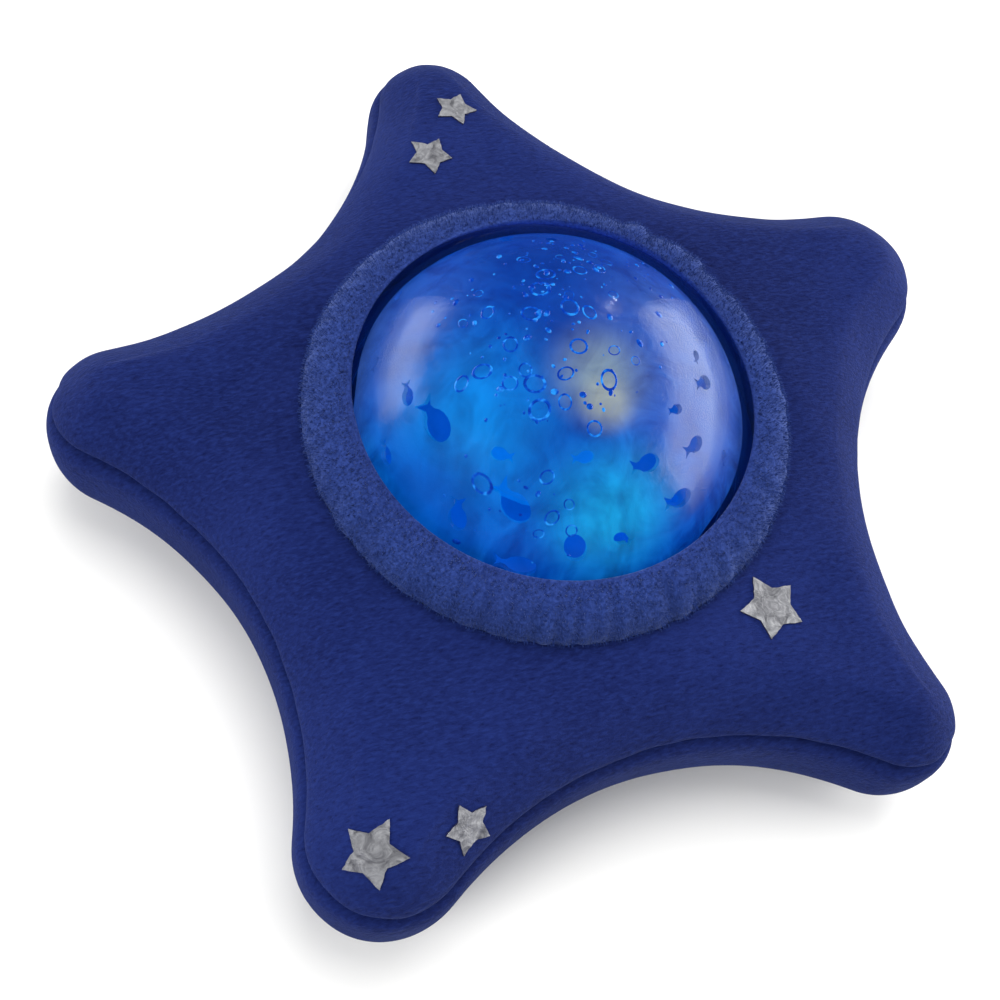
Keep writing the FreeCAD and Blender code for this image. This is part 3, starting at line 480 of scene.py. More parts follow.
# The stuffed star. Each arm: direction, reach, end radius and lift, as sewn (mm, degrees)
ARMS = (
    (17.5, 149.0, 26.5, -1.5),
    (89.1, 149.8, 20.7, -4.0),
    (163.1, 144.0, 21.0, -4.0),
    (234.5, 150.4, 24.3, 1.0),
    (305.9, 150.0, 18.5, -3.6),
)
HOLLOW_RADIUS = 106.7
END_POINTS = 26
HOLLOW_POINTS = 34
EDGE_ROUND = 24.0
DEEPEST_INSET = 14.0
# Shares of the way from the edge to the well underneath, and to the collar on top
BASE_SHARES = (1.0, 0.7, 0.4, 0.2, 0.08)
FACE_SHARES = (0.03, 0.07, 0.12, 0.18, 0.26, 0.35, 0.45, 0.56, 0.68, 0.80, 0.90, 1.0)
# The drawn-in seam and the cloth that swells above and below it (mm)
SEAM_STEPS = (-3.0, -1.8, -1.0, -0.5, 0.0, 0.5, 1.0, 1.8, 3.0)
SEAM_DEPTH, SEAM_WIDTH = 3.2, 1.0
SWELL_ABOVE, SWELL_BELOW, SWELL_WIDTH = 1.1, 0.7, 3.5
SEAM_GATHER = 0.9
# Waves of the stuffing under the cloth: length and height (mm)
SWELL_WAVE, SWELL_HEIGHT = 42, 2.2
CREASE_WAVE, CREASE_HEIGHT = 15, 0.6
SHIFT_WAVE, SHIFT_REACH = 20, 0.5


def circle_between(first, second):
    """Centre of the hollow arc that touches the ends of two arms."""
    (c0, r0), (c1, r1) = first, second
    d0, d1 = r0 + HOLLOW_RADIUS, r1 + HOLLOW_RADIUS
    apart = (c1 - c0).length
    along = (d0 * d0 - d1 * d1 + apart * apart) / (2 * apart)
    up = math.sqrt(d0 * d0 - along * along)
    way = (c1 - c0).normalized()
    out = Vector((way.y, -way.x))
    middle = c0 + way * along
    return max((middle + out * up, middle - out * up), key=lambda spot: spot.length)


def star_outline():
    """Points round the widest outline with their outward directions and arm lifts."""
    ends = []
    for turn, reach, radius, lift in ARMS:
        way = Vector((math.cos(math.radians(turn)), math.sin(math.radians(turn))))
        ends.append((way * (reach - radius), radius))
    hollows = [circle_between(ends[arm], ends[(arm + 1) % 5]) for arm in range(5)]
    points = []
    for arm, (centre, radius) in enumerate(ends):
        first, last = hollows[arm - 1] - centre, hollows[arm] - centre
        begin = math.atan2(first.y, first.x)
        sweep = (math.atan2(last.y, last.x) - begin) % (2 * math.pi)
        for step in range(END_POINTS):
            turn = begin + sweep * step / END_POINTS
            way = Vector((math.cos(turn), math.sin(turn)))
            points.append((centre + way * radius, way, ARMS[arm][3]))
        centre, following = hollows[arm], ends[(arm + 1) % 5][0]
        begin = math.atan2(*(ends[arm][0] - centre).yx)
        finish = math.atan2(*(following - centre).yx)
        sweep = (finish - begin + math.pi) % (2 * math.pi) - math.pi
        for step in range(HOLLOW_POINTS):
            share = step / HOLLOW_POINTS
            way = Vector((math.cos(begin + sweep * share), math.sin(begin + sweep * share)))
            lift = ARMS[arm][3] * (1 - share) ** 2 + ARMS[(arm + 1) % 5][3] * share ** 2
            points.append((centre + way * HOLLOW_RADIUS, -way, lift))
    return points


def edge_levels():
    """The side of the star from its base up: (inset from the widest outline, height)."""
    levels = []
    for turn in range(-66, 67, 6):
        angle = math.radians(turn)
        levels.append((EDGE_ROUND * (1 - math.cos(angle)), WIDEST + WIDEST * math.sin(angle)))
    levels = [level for level in levels if abs(level[1] - SEAM) >= 3.6]
    for height in (SEAM + step for step in SEAM_STEPS):
        share = (height - WIDEST) / WIDEST
        levels.append((EDGE_ROUND * (1 - math.sqrt(1 - share * share)), height))
    return sorted(levels, key=lambda level: level[1])


def star_rings():
    """The outline, and rings of points from the well underneath to the collar's seam."""
    outline = star_outline()
    levels = edge_levels()
    high = levels[-1]
    rings = []
    for share in BASE_SHARES:
        rings.append([base_point(point, share) for point in outline])
    for inset, height in levels:
        rings.append([side_point(point, way, inset, height) for point, way, lift in outline])
    for share in FACE_SHARES:
        rings.append([face_point(point, way, share, high) for point, way, lift in outline])
    return outline, rings


def base_point(entry, share):
    """A point underneath, from the edge (0) to the well (1)."""
    point, way, lift = entry
    edge = point - way * DEEPEST_INSET
    spot = edge.lerp(point.normalized() * WELL, share)
    return Vector((spot.x, spot.y, 0.6 + 2.0 * (1 - share) ** 8))


def side_point(point, way, inset, height):
    """A point on the side, with the seam drawn in and the cloth swelling beside it."""
    groove = SEAM_DEPTH * math.exp(-((height - SEAM) / SEAM_WIDTH) ** 2)
    above = SWELL_ABOVE * math.exp(-((height - SEAM - 5) / SWELL_WIDTH) ** 2)
    below = SWELL_BELOW * math.exp(-((height - SEAM + 5) / SWELL_WIDTH) ** 2)
    spot = point - way * (inset + groove - above - below)
    return Vector((spot.x, spot.y, height))


def face_point(point, way, share, high):
    """A point on the face, from the edge (0) to the collar's seam (1)."""
    edge = point - way * high[0]
    end = point.normalized() * COLLAR_SEAM
    spot = edge.lerp(end, share)
    run = (end - edge).length * share
    height = high[1] + (TOP - high[1]) * (1 - math.exp(-0.16 * run))
    return Vector((spot.x, spot.y, height))


def soften(spot, lift):
    """Sag, creases and unevenness of the stuffing."""
    out = math.hypot(spot.x, spot.y)
    share = min(max((out - 78) / 70, 0), 1)
    height = spot.z / TOP
    spot.z += lift * share * height
    if height > 0.15:
        swell = noise.noise(Vector((spot.x, spot.y, 0)) / SWELL_WAVE + Vector((3, 1, 2)))
        crease = noise.noise(spot / CREASE_WAVE)
        held = min(max((out - COLLAR_SEAM) / 12, 0), 1)
        spot.z += (swell * SWELL_HEIGHT + crease * CREASE_HEIGHT) * min(height, 1) * held
        spot.x += noise.noise(spot / SHIFT_WAVE + Vector((9, 0, 0))) * SHIFT_REACH * share
        spot.y += noise.noise(spot / SHIFT_WAVE + Vector((0, 9, 0))) * SHIFT_REACH * share
    return spot


def make_star(material):
    """The star, extruded ring by ring from the well's edge underneath to the collar."""
    rest_selection()
    outline, rings = star_rings()
    bpy.ops.mesh.primitive_circle_add(vertices=len(outline), radius=WELL * MM)
    star = bpy.context.object
    steps = star.data.attributes.new("step", "INT", "POINT")
    for vert in star.data.vertices:
        steps.data[vert.index].value = vert.index
    bpy.ops.object.mode_set(mode="EDIT")
    for number, ring in enumerate(rings):
        if number:
            bpy.ops.mesh.extrude_edges_move()
        mesh = bmesh.from_edit_mesh(star.data)
        layer = mesh.verts.layers.int["step"]
        for vert in mesh.verts:
            if vert.select:
                vert.co = soften(ring[vert[layer]].copy(), outline[vert[layer]][2]) * MM
        bmesh.update_edit_mesh(star.data)
    bpy.ops.object.mode_set(mode="OBJECT")
    outward(star)
    pucker_seam(star)
    smooth = star.modifiers.new("rounding", "SUBSURF")
    smooth.levels = smooth.render_levels = 1
    apply_all(star)
    flatten_base(star)
    return dress(star, "plush_star", material, "cover", (
        "star_face_panel", "star_side_band", "star_base_panel", "star_filling"), 80)


def pucker_seam(star):
    """Small gathers where the thread draws the seam in."""
    for vert in star.data.vertices:
        spot = vert.co / MM
        near = math.exp(-((spot.z - SEAM) / 3.0) ** 2)
        if near > 0.05:
            turn = math.atan2(spot.y, spot.x)
            wave = noise.noise(Vector((math.cos(turn) * 20, math.sin(turn) * 20, spot.z * 0.1)))
            vert.co -= Vector((spot.x, spot.y, 0)).normalized() * wave * near * SEAM_GATHER * MM


def flatten_base(star):
    """The star lies flat where it touches the surface."""
    for vert in star.data.vertices:
        vert.co.z = max(vert.co.z, 0.0002)


# Silver patches: name, x, y, size to its points, turn, all as seen on the star (mm, degrees)
PATCHES = (
    ("silver_star_top", 3.8, 113.7, 7.4, 59),
    ("silver_star_upper", -9.5, 96.0, 7.4, 51),
    ("silver_star_right", 43.4, -71.8, 9.8, 32),
    ("silver_star_lower", -80.0, -109.0, 8.8, 49),
    ("silver_star_edge", -54.5, -108.0, 7.2, 39),
)
PATCH_STEPS = 9
PATCH_INNER = 0.56
PATCH_LIFT = 0.55
PATCH_CLOTH = 0.5


def make_patch(name, x, y, size, turn, tree, silver, edge):
    """A five-pointed patch that lies on the star's cloth."""
    rest_selection()
    bpy.ops.mesh.primitive_circle_add(vertices=10, radius=size * MM, fill_type="TRIFAN")
    patch = bpy.context.object
    shape = random.Random(SEED + int(x * 10))
    corners = sorted((vert for vert in patch.data.vertices if vert.co.length > 0.1 * MM),
                     key=lambda vert: math.atan2(vert.co.y, vert.co.x))
    for step, vert in enumerate(corners):
        reach = size * (PATCH_INNER if step % 2 else 1) * shape.uniform(0.93, 1.05)
        angle = step * math.pi / 5
        vert.co = Vector((math.cos(angle), math.sin(angle), 0)) * reach * MM
    bpy.ops.object.mode_set(mode="EDIT")
    bpy.ops.mesh.select_all(action="SELECT")
    bpy.ops.mesh.subdivide(number_cuts=PATCH_STEPS)
    bpy.ops.object.mode_set(mode="OBJECT")
    patch.rotation_euler.z = math.radians(turn)
    settle(patch)
    centre, normal = land(tree, x, y)
    tilt = Vector((0, 0, 1)).rotation_difference(normal)
    for vert in patch.data.vertices:
        spot = centre + tilt @ vert.co
        hit, way = nearest(tree, spot + normal * 0.004, normal)
        rough = noise.noise(spot / MM / 1.4) * 0.16 + noise.noise(spot / MM / 4) * 0.12
        frayed = noise.noise(spot / MM / 1.1 + Vector((5, 5, 5))) * 0.18
        vert.co = hit + way * (PATCH_LIFT + rough) * MM + Vector((frayed, -frayed, 0)) * MM
    thick = patch.modifiers.new("cloth", "SOLIDIFY")
    thick.thickness = PATCH_CLOTH * MM
    thick.offset = -1
    apply_all(patch)
    dress(patch, name + "_patch", silver, "cover", (name,), 40)
    patch.data.materials.append(edge)
    for face in patch.data.polygons:
        upward = tilt.inverted() @ face.normal
        face.material_index = 0 if upward.z > 0.35 else 1


def land(tree, x, y):
    """Where a patch's middle lies on the cloth, and the cloth's direction around it."""
    hit, normal, index, away = tree.ray_cast(Vector((x, y, 120)) * MM, Vector((0, 0, -1)))
    wide = Vector()
    for step in range(8):
        turn = math.radians(45 * step)
        probe = Vector((x + 4 * math.cos(turn), y + 4 * math.sin(turn), 120)) * MM
        around = tree.ray_cast(probe, Vector((0, 0, -1)))
        if around[1] is not None:
            wide += around[1]
    return hit, wide.normalized()


def nearest(tree, spot, normal):
    """The cloth under a point, or the cloth nearest to it."""
    hit, way, index, away = tree.ray_cast(spot, -normal)
    if hit is None:
        hit, way, index, away = tree.find_nearest(spot)
    return hit, way


# The fleece collar
COLLAR_SIDES = 360
COLLAR_STEPS = 14
COLLAR_START, COLLAR_SWEEP = -12, 112
# Radius and height of the cloth where it turns in round the dome (mm)
COLLAR_LIP = [(58.55, 72.2), (59.4, 70.4), (60.8, 68.6), (62.0, 66.0), (63.0, 62.4)]
TUFTS = 15000
TUFT_LENGTH = (0.7, 1.6)
TUFT_WIDTH = (0.08, 0.14)


def collar_level(share):
    """Radius and height on the collar's back, from its seam (0) over the roll to the rim (1)."""
    turn = math.radians(COLLAR_START + COLLAR_SWEEP * share)
    return COLLAR_CENTRE + COLLAR_RISE * math.cos(turn), TOP + COLLAR_RISE * math.sin(turn)


def gather(turn, share):
    """How far the cloth of the collar is drawn in or out at a direction."""
    around = Vector((math.cos(turn), math.sin(turn), 0))
    pleats = noise.noise(around * 17 + Vector((0, 0, share * 0.8)))
    front = 0.5 + 0.5 * math.cos(turn - math.radians(-112))
    back = max(0.0, math.cos(turn - math.radians(28))) ** 6
    fine = noise.noise(around * 34 + Vector((4, 0, share)))
    strength = 0.35 + 0.9 * front ** 2 + 1.3 * back
    return (pleats * 1.3 + fine * 0.5) * strength * math.sin(math.pi * min(share * 1.1, 1)) ** 0.5


def make_collar(material):
    """The padded roll, gathered most at its front and back."""
    corners = [(WELL + 0.6, TOP - 2.5), (COLLAR_SEAM - 1.6, TOP - 2.0)]
    corners += [collar_level(step / COLLAR_STEPS) for step in range(COLLAR_STEPS + 1)]
    collar = turned_edges("collar", corners + COLLAR_LIP, COLLAR_SIDES)
    for vert in collar.data.vertices:
        spot = vert.co / MM
        out = math.hypot(spot.x, spot.y)
        turn = math.atan2(spot.y, spot.x)
        rise = math.atan2(spot.z - TOP, out - COLLAR_CENTRE)
        share = (math.degrees(rise) - COLLAR_START) / COLLAR_SWEEP
        if 0 < share < 1:
            shift = gather(turn, share)
            way = Vector((spot.x / out * math.cos(rise), spot.y / out * math.cos(rise),
                          math.sin(rise)))
            vert.co += way * shift * MM * min(1, (1 - share) * 5)
    outward_up(collar)
    rounding = collar.modifiers.new("rounding", "SUBSURF")
    rounding.levels = rounding.render_levels = 1
    apply_all(collar)
    dress(collar, "fleece_collar", material, "cover",
          ("collar_fleece", "collar_padding"), 80)
    return collar


def make_pile(collar, material):
    """Short tufts all over the collar."""
    draw = random.Random(SEED)
    tree = BVHTree.FromObject(collar, bpy.context.evaluated_depsgraph_get())
    verts, faces = [], []
    for number in range(TUFTS):
        turn = draw.uniform(0, 2 * math.pi)
        share = draw.uniform(0.03, 0.93)
        radius, height = collar_level(share)
        aim = Vector((math.cos(turn) * radius, math.sin(turn) * radius, height)) * MM
        hit, way, index, away = tree.find_nearest(aim)
        if way.z < -0.2:
            continue
        side = Vector((-math.sin(turn), math.cos(turn), 0))
        down = side.cross(way) * (1 if side.cross(way).z < 0 else -1)
        lean = down * draw.uniform(0.0, 0.7) + side * draw.uniform(-0.5, 0.5)
        length = draw.uniform(*TUFT_LENGTH) * MM
        tip = hit + (way + lean).normalized() * length
        middle = hit + (way + lean * 0.3).normalized() * length * 0.55
        wide = draw.uniform(*TUFT_WIDTH) * MM
        first = len(verts)
        for spot, width in ((hit - way * 0.2 * MM, wide), (middle, wide * 0.8)):
            for corner in range(3):
                angle = corner * 2 * math.pi / 3 + number
                verts.append(spot + (side * math.cos(angle) + down * math.sin(angle)) * width)
        verts.append(tip)
        for corner in range(3):
            following = (corner + 1) % 3
            faces.append((first + corner, first + following,
                          first + 3 + following, first + 3 + corner))
            faces.append((first + 3 + corner, first + 3 + following, first + 6))
        faces.append((first + 2, first + 1, first))
    pile = drawn("collar_pile", verts, faces)
    outward(pile)
    dress(pile, "collar_pile", material, "cover", (), 80)


# The domes
DOME_SIDES = 144
DOME_RINGS = 40
# The flange that the dome's ring holds down: its heights and how far it stands out (mm)
FLANGE_LOW, FLANGE_HIGH, FLANGE_REACH = 46.2, 47.8, 3


def skirt_radius(radius):
    """How wide a dome is where it stands on its straight skirt."""
    return math.sqrt(radius ** 2 - (SKIRT_TOP - DOME_CENTRE) ** 2)


def ball_corners(radius):
    """Corners (radius, height) from the skirt's top to just short of the crown."""
    start = math.asin((SKIRT_TOP - DOME_CENTRE) / radius)
    corners = []
    for step in range(DOME_RINGS):
        rise = start + (math.pi / 2 - start) * step / DOME_RINGS
        corners.append((radius * math.cos(rise), DOME_CENTRE + radius * math.sin(rise)))
    return corners


def closed_crown(piece, height):
    """Close the open ring at the crown into one point."""
    choose(piece)
    bpy.ops.object.mode_set(mode="EDIT")
    bpy.ops.mesh.extrude_edges_move()
    bpy.ops.mesh.merge(type="CENTER")
    mesh = bmesh.from_edit_mesh(piece.data)
    top = next(vert for vert in mesh.verts if vert.select)
    top.co = Vector((0, 0, height * MM))
    bmesh.update_edit_mesh(piece.data)
    bpy.ops.object.mode_set(mode="OBJECT")


def make_shell(name, skirt, radius, thickness):
    """A thin dome on its skirt, whose corners (radius, height) are given."""
    dome = turned_edges(name, skirt + ball_corners(radius), DOME_SIDES)
    closed_crown(dome, DOME_CENTRE + radius)
    outward_up(dome)
    wall = dome.modifiers.new("wall", "SOLIDIFY")
    wall.thickness = thickness * MM
    wall.offset = -1
    apply_all(dome)
    return dome


def make_clear_dome(material):
    """The clear dome with its flange."""
    wide = skirt_radius(DOME_RADIUS)
    skirt = [(wide + FLANGE_REACH, FLANGE_LOW), (wide + FLANGE_REACH, FLANGE_HIGH),
             (wide, 48.0), (wide, 55), (wide, 62)]
    dome = make_shell("clear", skirt, DOME_RADIUS, DOME_WALL)
    dress(dome, "clear_dome", material, "lamp_unit", ("outer_dome",), 50)
    dome.visible_shadow = False


# Fish through the dome: azimuth, height angle, length in mm, turn (degrees)
FISH = (
    (-14, 55, 4.6, 80), (-3, 33, 6.0, 35), (-25, 52, 8.0, 35), (-15, 32, 8.5, 65),
    (-48, 58, 5.5, 55), (-51, 47, 8.4, 75), (-41, 34, 5.5, 140), (-75, 52, 9.6, 80),
    (-66, 38, 10.4, 75), (-88, 34, 6.8, 235), (-103, 57, 6.6, 100), (-137, 52, 6.8, 285),
    (-126, 42, 14.0, 55), (-119, 25, 13.0, 95), (-140, 32, 10.4, 25), (-166, 46, 14.2, 90),
    (179, 42, 7.6, 80), (161, 31, 5.0, 240), (133, 28, 7.0, 310), (-170, 28, 8.0, 70),
    (20, 34, 9.0, 10), (60, 35, 10.0, 30), (95, 42, 9.0, -20), (112, 30, 8.0, 15),
)
# Oval and round bubbles through the dome: azimuth, height angle, half length, half width
HOLES = ((-103, 33, 4.4, 3.0), (40, 46, 1.8, 1.8), (80, 50, 1.6, 1.6))
# Where a cut starts and ends, from the dome's centre (mm)
CUT_DEPTHS = (50, 66)


def fish_points(length):
    """Outline of a plump fish with a forked tail, nose along +X."""
    points = []
    for step in range(15):
        turn = math.radians(-150 + 300 * step / 14)
        points.append((length * (0.10 + 0.34 * math.cos(turn)), length * 0.26 * math.sin(turn)))
    tail = [(-0.30, 0.10), (-0.50, 0.22), (-0.40, 0.0), (-0.50, -0.22), (-0.30, -0.10)]
    return points + [(length * x, length * y) for x, y in tail]


def oval_points(long_half, short_half):
    """Outline of a bubble's hole."""
    return [(long_half * math.cos(math.radians(turn)), short_half * math.sin(math.radians(turn)))
            for turn in range(0, 360, 18)]


def ball_frame(azimuth, rise, turn):
    """Turns a flat outline so that it faces out of the dome."""
    around, over = math.radians(azimuth), math.radians(90 - rise)
    out = Quaternion((0, 0, 1), around) @ Quaternion((0, 1, 0), over)
    return out @ Quaternion((0, 0, 1), math.radians(turn))


def add_prism(verts, faces, points, aim):
    """A closed prism through the dome's wall."""
    first, count = len(verts), len(points)
    for depth in CUT_DEPTHS:
        for x, y in points:
            verts.append((aim @ Vector((x, y, depth)) + Vector((0, 0, DOME_CENTRE))) * MM)
    faces.append(tuple(first + count - 1 - step for step in range(count)))
    faces.append(tuple(first + count + step for step in range(count)))
    for step in range(count):
        following = (step + 1) % count
        faces.append((first + step, first + following,
                      first + count + following, first + count + step))


def make_fish_dome(material):
    """The blue dome that turns, cut through by fish and bubbles."""
    wide = skirt_radius(FISH_RADIUS)
    skirt = [(wide, FISH_FOOT), (wide, 50), (wide, 60)]
    dome = make_shell("fish", skirt, FISH_RADIUS, FISH_WALL)
    verts, faces = [], []
    for azimuth, rise, length, turn in FISH:
        add_prism(verts, faces, fish_points(length), ball_frame(azimuth, rise, turn))
    for azimuth, rise, long_half, short_half in HOLES:
        add_prism(verts, faces, oval_points(long_half, short_half), ball_frame(azimuth, rise, 20))
    cutters = drawn("cutters", verts, faces)
    cut = dome.modifiers.new("fish", "BOOLEAN")
    cut.object = cutters
    cut.solver = "EXACT"
    apply_all(dome)
    bpy.data.objects.remove(cutters)
    dress(dome, "pierced_dome", material, "drum", ("fish_dome",), 35)


# Bubble rings on the pierced dome: azimuth, height angle, radius in mm
RINGS = (
    (97, 70, 2.4), (94, 83, 2.6), (144, 77, 2.4), (-112, 85, 2.4), (-123, 77, 1.9),
    (-77, 75, 2.4), (-117, 70, 1.9), (-97, 64, 2.2), (-143, 71, 2.6), (-131, 66, 2.9),
    (-156, 67, 2.1), (-172, 63, 2.2), (-172, 57, 1.9), (111, 74, 2.9), (101, 61, 1.7),
    (111, 61, 1.0), (136, 61, 1.4), (136, 68, 1.0), (149, 66, 1.9), (178, 72, 2.1),
    (169, 66, 1.2), (-46, 80, 1.5), (-41, 74, 1.4), (-61, 70, 1.2), (62, 59, 1.4),
    (54, 61, 1.5), (57, 66, 1.9), (53, 44, 1.2), (81, 63, 1.4), (70, 69, 2.1), (48, 84, 1.9),
    (86, 79, 1.5), (-156, 72, 1.9), (-112, 41, 1.9), (-105, 38, 1.7), (-115, 36, 1.4),
    (-107, 45, 1.5), (136, 71, 1.2), (7, 76, 1.2), (-11, 77, 1.0), (163, 69, 0.9),
    (75, 52, 0.9), (71, 55, 0.9), (85, 51, 0.9), (37, 74, 1.4), (156, 60, 1.4), (-176, 73, 0.9),
    (-117, 51, 1.9), (-138, 43, 2.6), (-146, 31, 1.2),
)
# Fields of small drops: middle azimuth, middle height angle, spread, count
DROP_FIELDS = ((75, 62, 16, 60), (100, 76, 16, 40), (150, 64, 18, 34), (-160, 70, 16, 26),
               (-110, 72, 14, 20), (-20, 76, 14, 20), (-120, 38, 20, 16), (40, 56, 14, 30))


def pattern_of(add, **sizes):
    """Vertices and faces of a primitive, which is removed again."""
    rest_selection()
    add(**sizes)
    pattern = bpy.context.object
    shape = [vert.co.copy() for vert in pattern.data.vertices]
    sides = [tuple(face.vertices) for face in pattern.data.polygons]
    bpy.data.objects.remove(pattern)
    return shape, sides


def make_drops(material):
    """Raised rings and lens-shaped drops that lie on the pierced dome."""
    draw = random.Random(SEED + 3)
    ring = pattern_of(bpy.ops.mesh.primitive_torus_add, major_segments=22, minor_segments=6,
                      major_radius=0.85, minor_radius=0.17)
    drop = pattern_of(bpy.ops.mesh.primitive_uv_sphere_add, segments=12, ring_count=6, radius=1.0)
    marks = [(azimuth, rise, radius, draw.uniform(1.0, 1.35), ring)
             for azimuth, rise, radius in RINGS]
    for azimuth, rise, spread, count in DROP_FIELDS:
        for number in range(count):
            lift = min(88, rise + draw.gauss(0, spread / 2))
            turn = azimuth + draw.gauss(0, spread / 2) / max(math.cos(math.radians(lift)), 0.2)
            size = draw.choice((0.3, 0.4, 0.5, 0.7, 0.9))
            shape = ring if size > 0.6 and draw.random() < 0.6 else drop
            marks.append((turn, lift, size, draw.uniform(1.0, 1.6), shape))
    verts, faces = [], []
    for azimuth, rise, size, long, (shape, sides) in marks:
        aim = ball_frame(azimuth, rise, draw.uniform(0, 180))
        seat = on_ball(azimuth, rise, FISH_RADIUS - 0.1)
        first = len(verts)
        for spot in shape:
            bowl = (spot.x ** 2 + spot.y ** 2) * size * size / (2 * FISH_RADIUS)
            flat = Vector((spot.x * size * long, spot.y * size, spot.z * size * 0.5 - bowl))
            verts.append(seat + (aim @ flat) * MM)
        faces += [tuple(first + corner for corner in face) for face in sides]
    drops = drawn("drops", verts, faces)
    dress(drops, "bubble_drops", material, "drum", (), 80)


# Floor, lights and camera
FLOOR_FADE = (0.45, 0.8)


def make_stage():
    """A pale floor that fades out far from the star and looks blue only in mirror rays."""
    rest_selection()
    bpy.ops.mesh.primitive_plane_add(size=8, location=(0, 0, -0.0001))
    floor = bpy.context.object
    floor.name = "floor"
    finish = Finish("floor_white", Roughness=0.9, Specular_IOR_Level=0.1)
    tone = finish.noise(3.0)
    pale = finish.blend(tone, (0.93, 0.92, 0.89), (0.95, 0.94, 0.91))
    mirrored = finish.nodes.new("ShaderNodeLightPath").outputs["Is Glossy Ray"]
    finish.colour(finish.blend(mirrored, pale, (0.03, 0.06, 0.28)))
    away = finish.nodes.new("ShaderNodeVectorMath")
    away.operation = "LENGTH"
    finish.link(finish.place(), away.inputs[0])
    finish.link(finish.spread(away.outputs["Value"], *FLOOR_FADE, 1.0, 0.0),
                finish.shader.inputs["Alpha"])
    floor.data.materials.append(finish.material)


# Softboxes: place, sides, power, and whether the domes mirror them
SOFTBOXES = (
    ("softbox_top", (0.10, 0.18, 1.0), (0.7, 0.7), 7.5, False),
    ("softbox_front", (-0.90, -0.30, 0.60), (0.5, 0.5), 6.0, False),
    ("softbox_left", (-0.62, 0.62, 0.08), (0.75, 0.45), 4.0, True),
    ("softbox_right", (0.88, -0.04, 0.20), (1.3, 0.66), 11.0, True),
    ("glint", (0.50, 0.50, 0.55), (0.03, 0.03), 0.12, True),
)
SOFTBOX_AIM = (0, 0, 0.05)
# Colour and strength of the light from around, and what each kind of ray sees there
AROUND_COLOUR, AROUND_STRENGTH = (0.95, 0.97, 1.0, 1), 0.52
SURROUNDINGS = (("Is Glossy Ray", (0.30, 0.42, 0.9, 1), 0.16),
                ("Is Transmission Ray", (0.30, 0.42, 0.9, 1), 0.10),
                ("Is Camera Ray", (1, 1, 1, 1), 1.0))


def make_softbox(name, spot, sides, power, mirrored):
    """A square lamp aimed at the middle of the star."""
    data = bpy.data.lights.new(name, "AREA")
    data.shape = "RECTANGLE"
    data.size, data.size_y = sides
    data.energy = power
    lamp = bpy.data.objects.new(name, data)
    bpy.context.collection.objects.link(lamp)
    lamp.location = spot
    lamp.rotation_mode = "QUATERNION"
    lamp.rotation_quaternion = (Vector(SOFTBOX_AIM) - Vector(spot)).to_track_quat("-Z", "Y")
    lamp.visible_glossy = mirrored
    lamp.visible_transmission = mirrored


def make_lights():
    """Even light from around, white to the camera, and the softboxes."""
    world = bpy.data.worlds.new("studio")
    bpy.context.scene.world = world
    world.use_nodes = True
    nodes, links = world.node_tree.nodes, world.node_tree.links
    path = nodes.new("ShaderNodeLightPath")
    shown = nodes["Background"]
    shown.inputs["Color"].default_value = AROUND_COLOUR
    shown.inputs["Strength"].default_value = AROUND_STRENGTH
    for ray, colour, strength in SURROUNDINGS:
        light = nodes.new("ShaderNodeBackground")
        light.inputs["Color"].default_value = colour
        light.inputs["Strength"].default_value = strength
        mix = nodes.new("ShaderNodeMixShader")
        links.new(path.outputs[ray], mix.inputs["Fac"])
        links.new(shown.outputs[0], mix.inputs[1])
        links.new(light.outputs["Background"], mix.inputs[2])
        shown = mix
    links.new(shown.outputs[0], nodes["World Output"].inputs["Surface"])
    for softbox in SOFTBOXES:
        make_softbox(*softbox)


# The camera: place and aim in metres, roll in degrees, lens in mm
CAMERA_SPOT = (-0.1207, -0.1698, 0.4028)
CAMERA_AIM = (-0.00417, 0.00231, 0.0)
CAMERA_ROLL = 19.6
CAMERA_LENS = 49.7


def make_camera():
    """The photo's view."""
    data = bpy.data.cameras.new("camera")
    data.lens = CAMERA_LENS
    data.sensor_width = 36
    camera = bpy.data.objects.new("camera", data)
    bpy.context.collection.objects.link(camera)
    camera.location = CAMERA_SPOT
    look = (Vector(CAMERA_AIM) - Vector(CAMERA_SPOT)).to_track_quat("-Z", "Y")
    camera.rotation_mode = "QUATERNION"
    camera.rotation_quaternion = look @ Quaternion((0, 0, 1), math.radians(CAMERA_ROLL))
    bpy.context.scene.camera = camera


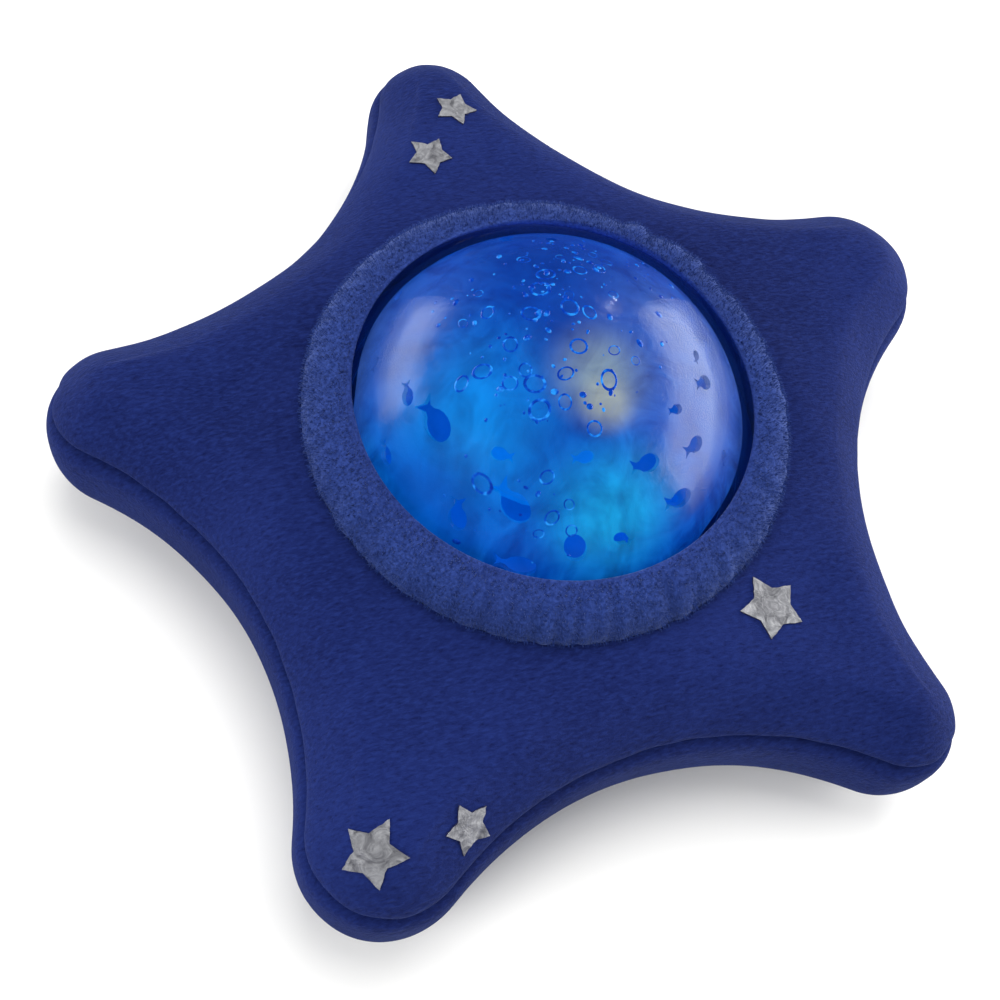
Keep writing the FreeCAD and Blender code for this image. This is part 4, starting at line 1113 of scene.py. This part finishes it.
def finish_frame_nodes():
    """Materials for the pieces that stay as they were built, by their slots in the frame."""
    black = moulded_finish("black_plastic", (0.012, 0.012, 0.014), (0.03, 0.03, 0.034), 0.5)
    finishes = {
        "housing_plastic": moulded_finish("housing_plastic", (0.004, 0.020, 0.15),
                                          (0.006, 0.030, 0.20)),
        # Painted glow on the inner plastic, the gears, the reflector and the lens
        "inner_plastic": glow_painted_finish("inner_plastic", (0.0, 0.050, 0.28)),
        "gear_plastic": glow_painted_finish("gear_plastic", (0.0, 0.050, 0.28)),
        "reflector_finish": glow_painted_finish("reflector_painted_glow", (0.0, 0.05, 0.30)),
        "clear_plastic": glow_painted_finish("lens_painted_glow", (0.0, 0.11, 0.45)),
        "diode_resin": diode_finish(),
        "steel": steel_finish(),
        "circuit_board": board_finish(),
        "chip_black": black,
        "slider_plastic": black,
        "cell_wrap": moulded_finish("cell_sleeve", (0.05, 0.16, 0.09), (0.08, 0.24, 0.13), 0.25),
        "button_rubber": moulded_finish("button_rubber", (0.02, 0.05, 0.25),
                                        (0.03, 0.08, 0.33), 0.6),
        "foot_rubber": moulded_finish("foot_rubber", (0.015, 0.015, 0.016),
                                      (0.04, 0.04, 0.042), 0.8),
        "speaker_paper": cloth_finish("speaker_cone", (0.012, 0.012, 0.012),
                                      (0.04, 0.04, 0.04)),
        "lining_cloth": cloth_finish("lining_cloth", (0.012, 0.02, 0.11), (0.03, 0.045, 0.2)),
    }
    slots = {entry["node"]: entry["material_slot"] for entry in frame["record"]["subparts"]}
    for node, piece in frame["nodes"].items():
        finish = finishes.get(slots.get(node))
        if finish is not None:
            piece.data.materials.clear()
            piece.data.materials.append(finish)


velour = velour_finish()
fleece = fleece_finish()
finish_frame_nodes()
star = make_star(velour)
cloth = BVHTree.FromObject(star, bpy.context.evaluated_depsgraph_get())
silver, edge = silver_finish(), edge_finish()
for name, x, y, size, turn in PATCHES:
    make_patch(name, x, y, size, turn, cloth, silver, edge)
collar = make_collar(fleece)
make_pile(collar, fleece)
make_clear_dome(clear_finish())
make_fish_dome(fish_dome_finish())
make_drops(bubble_finish())
make_stage()
make_lights()
make_camera()

scene = bpy.context.scene
scene.view_settings.view_transform = "Standard"
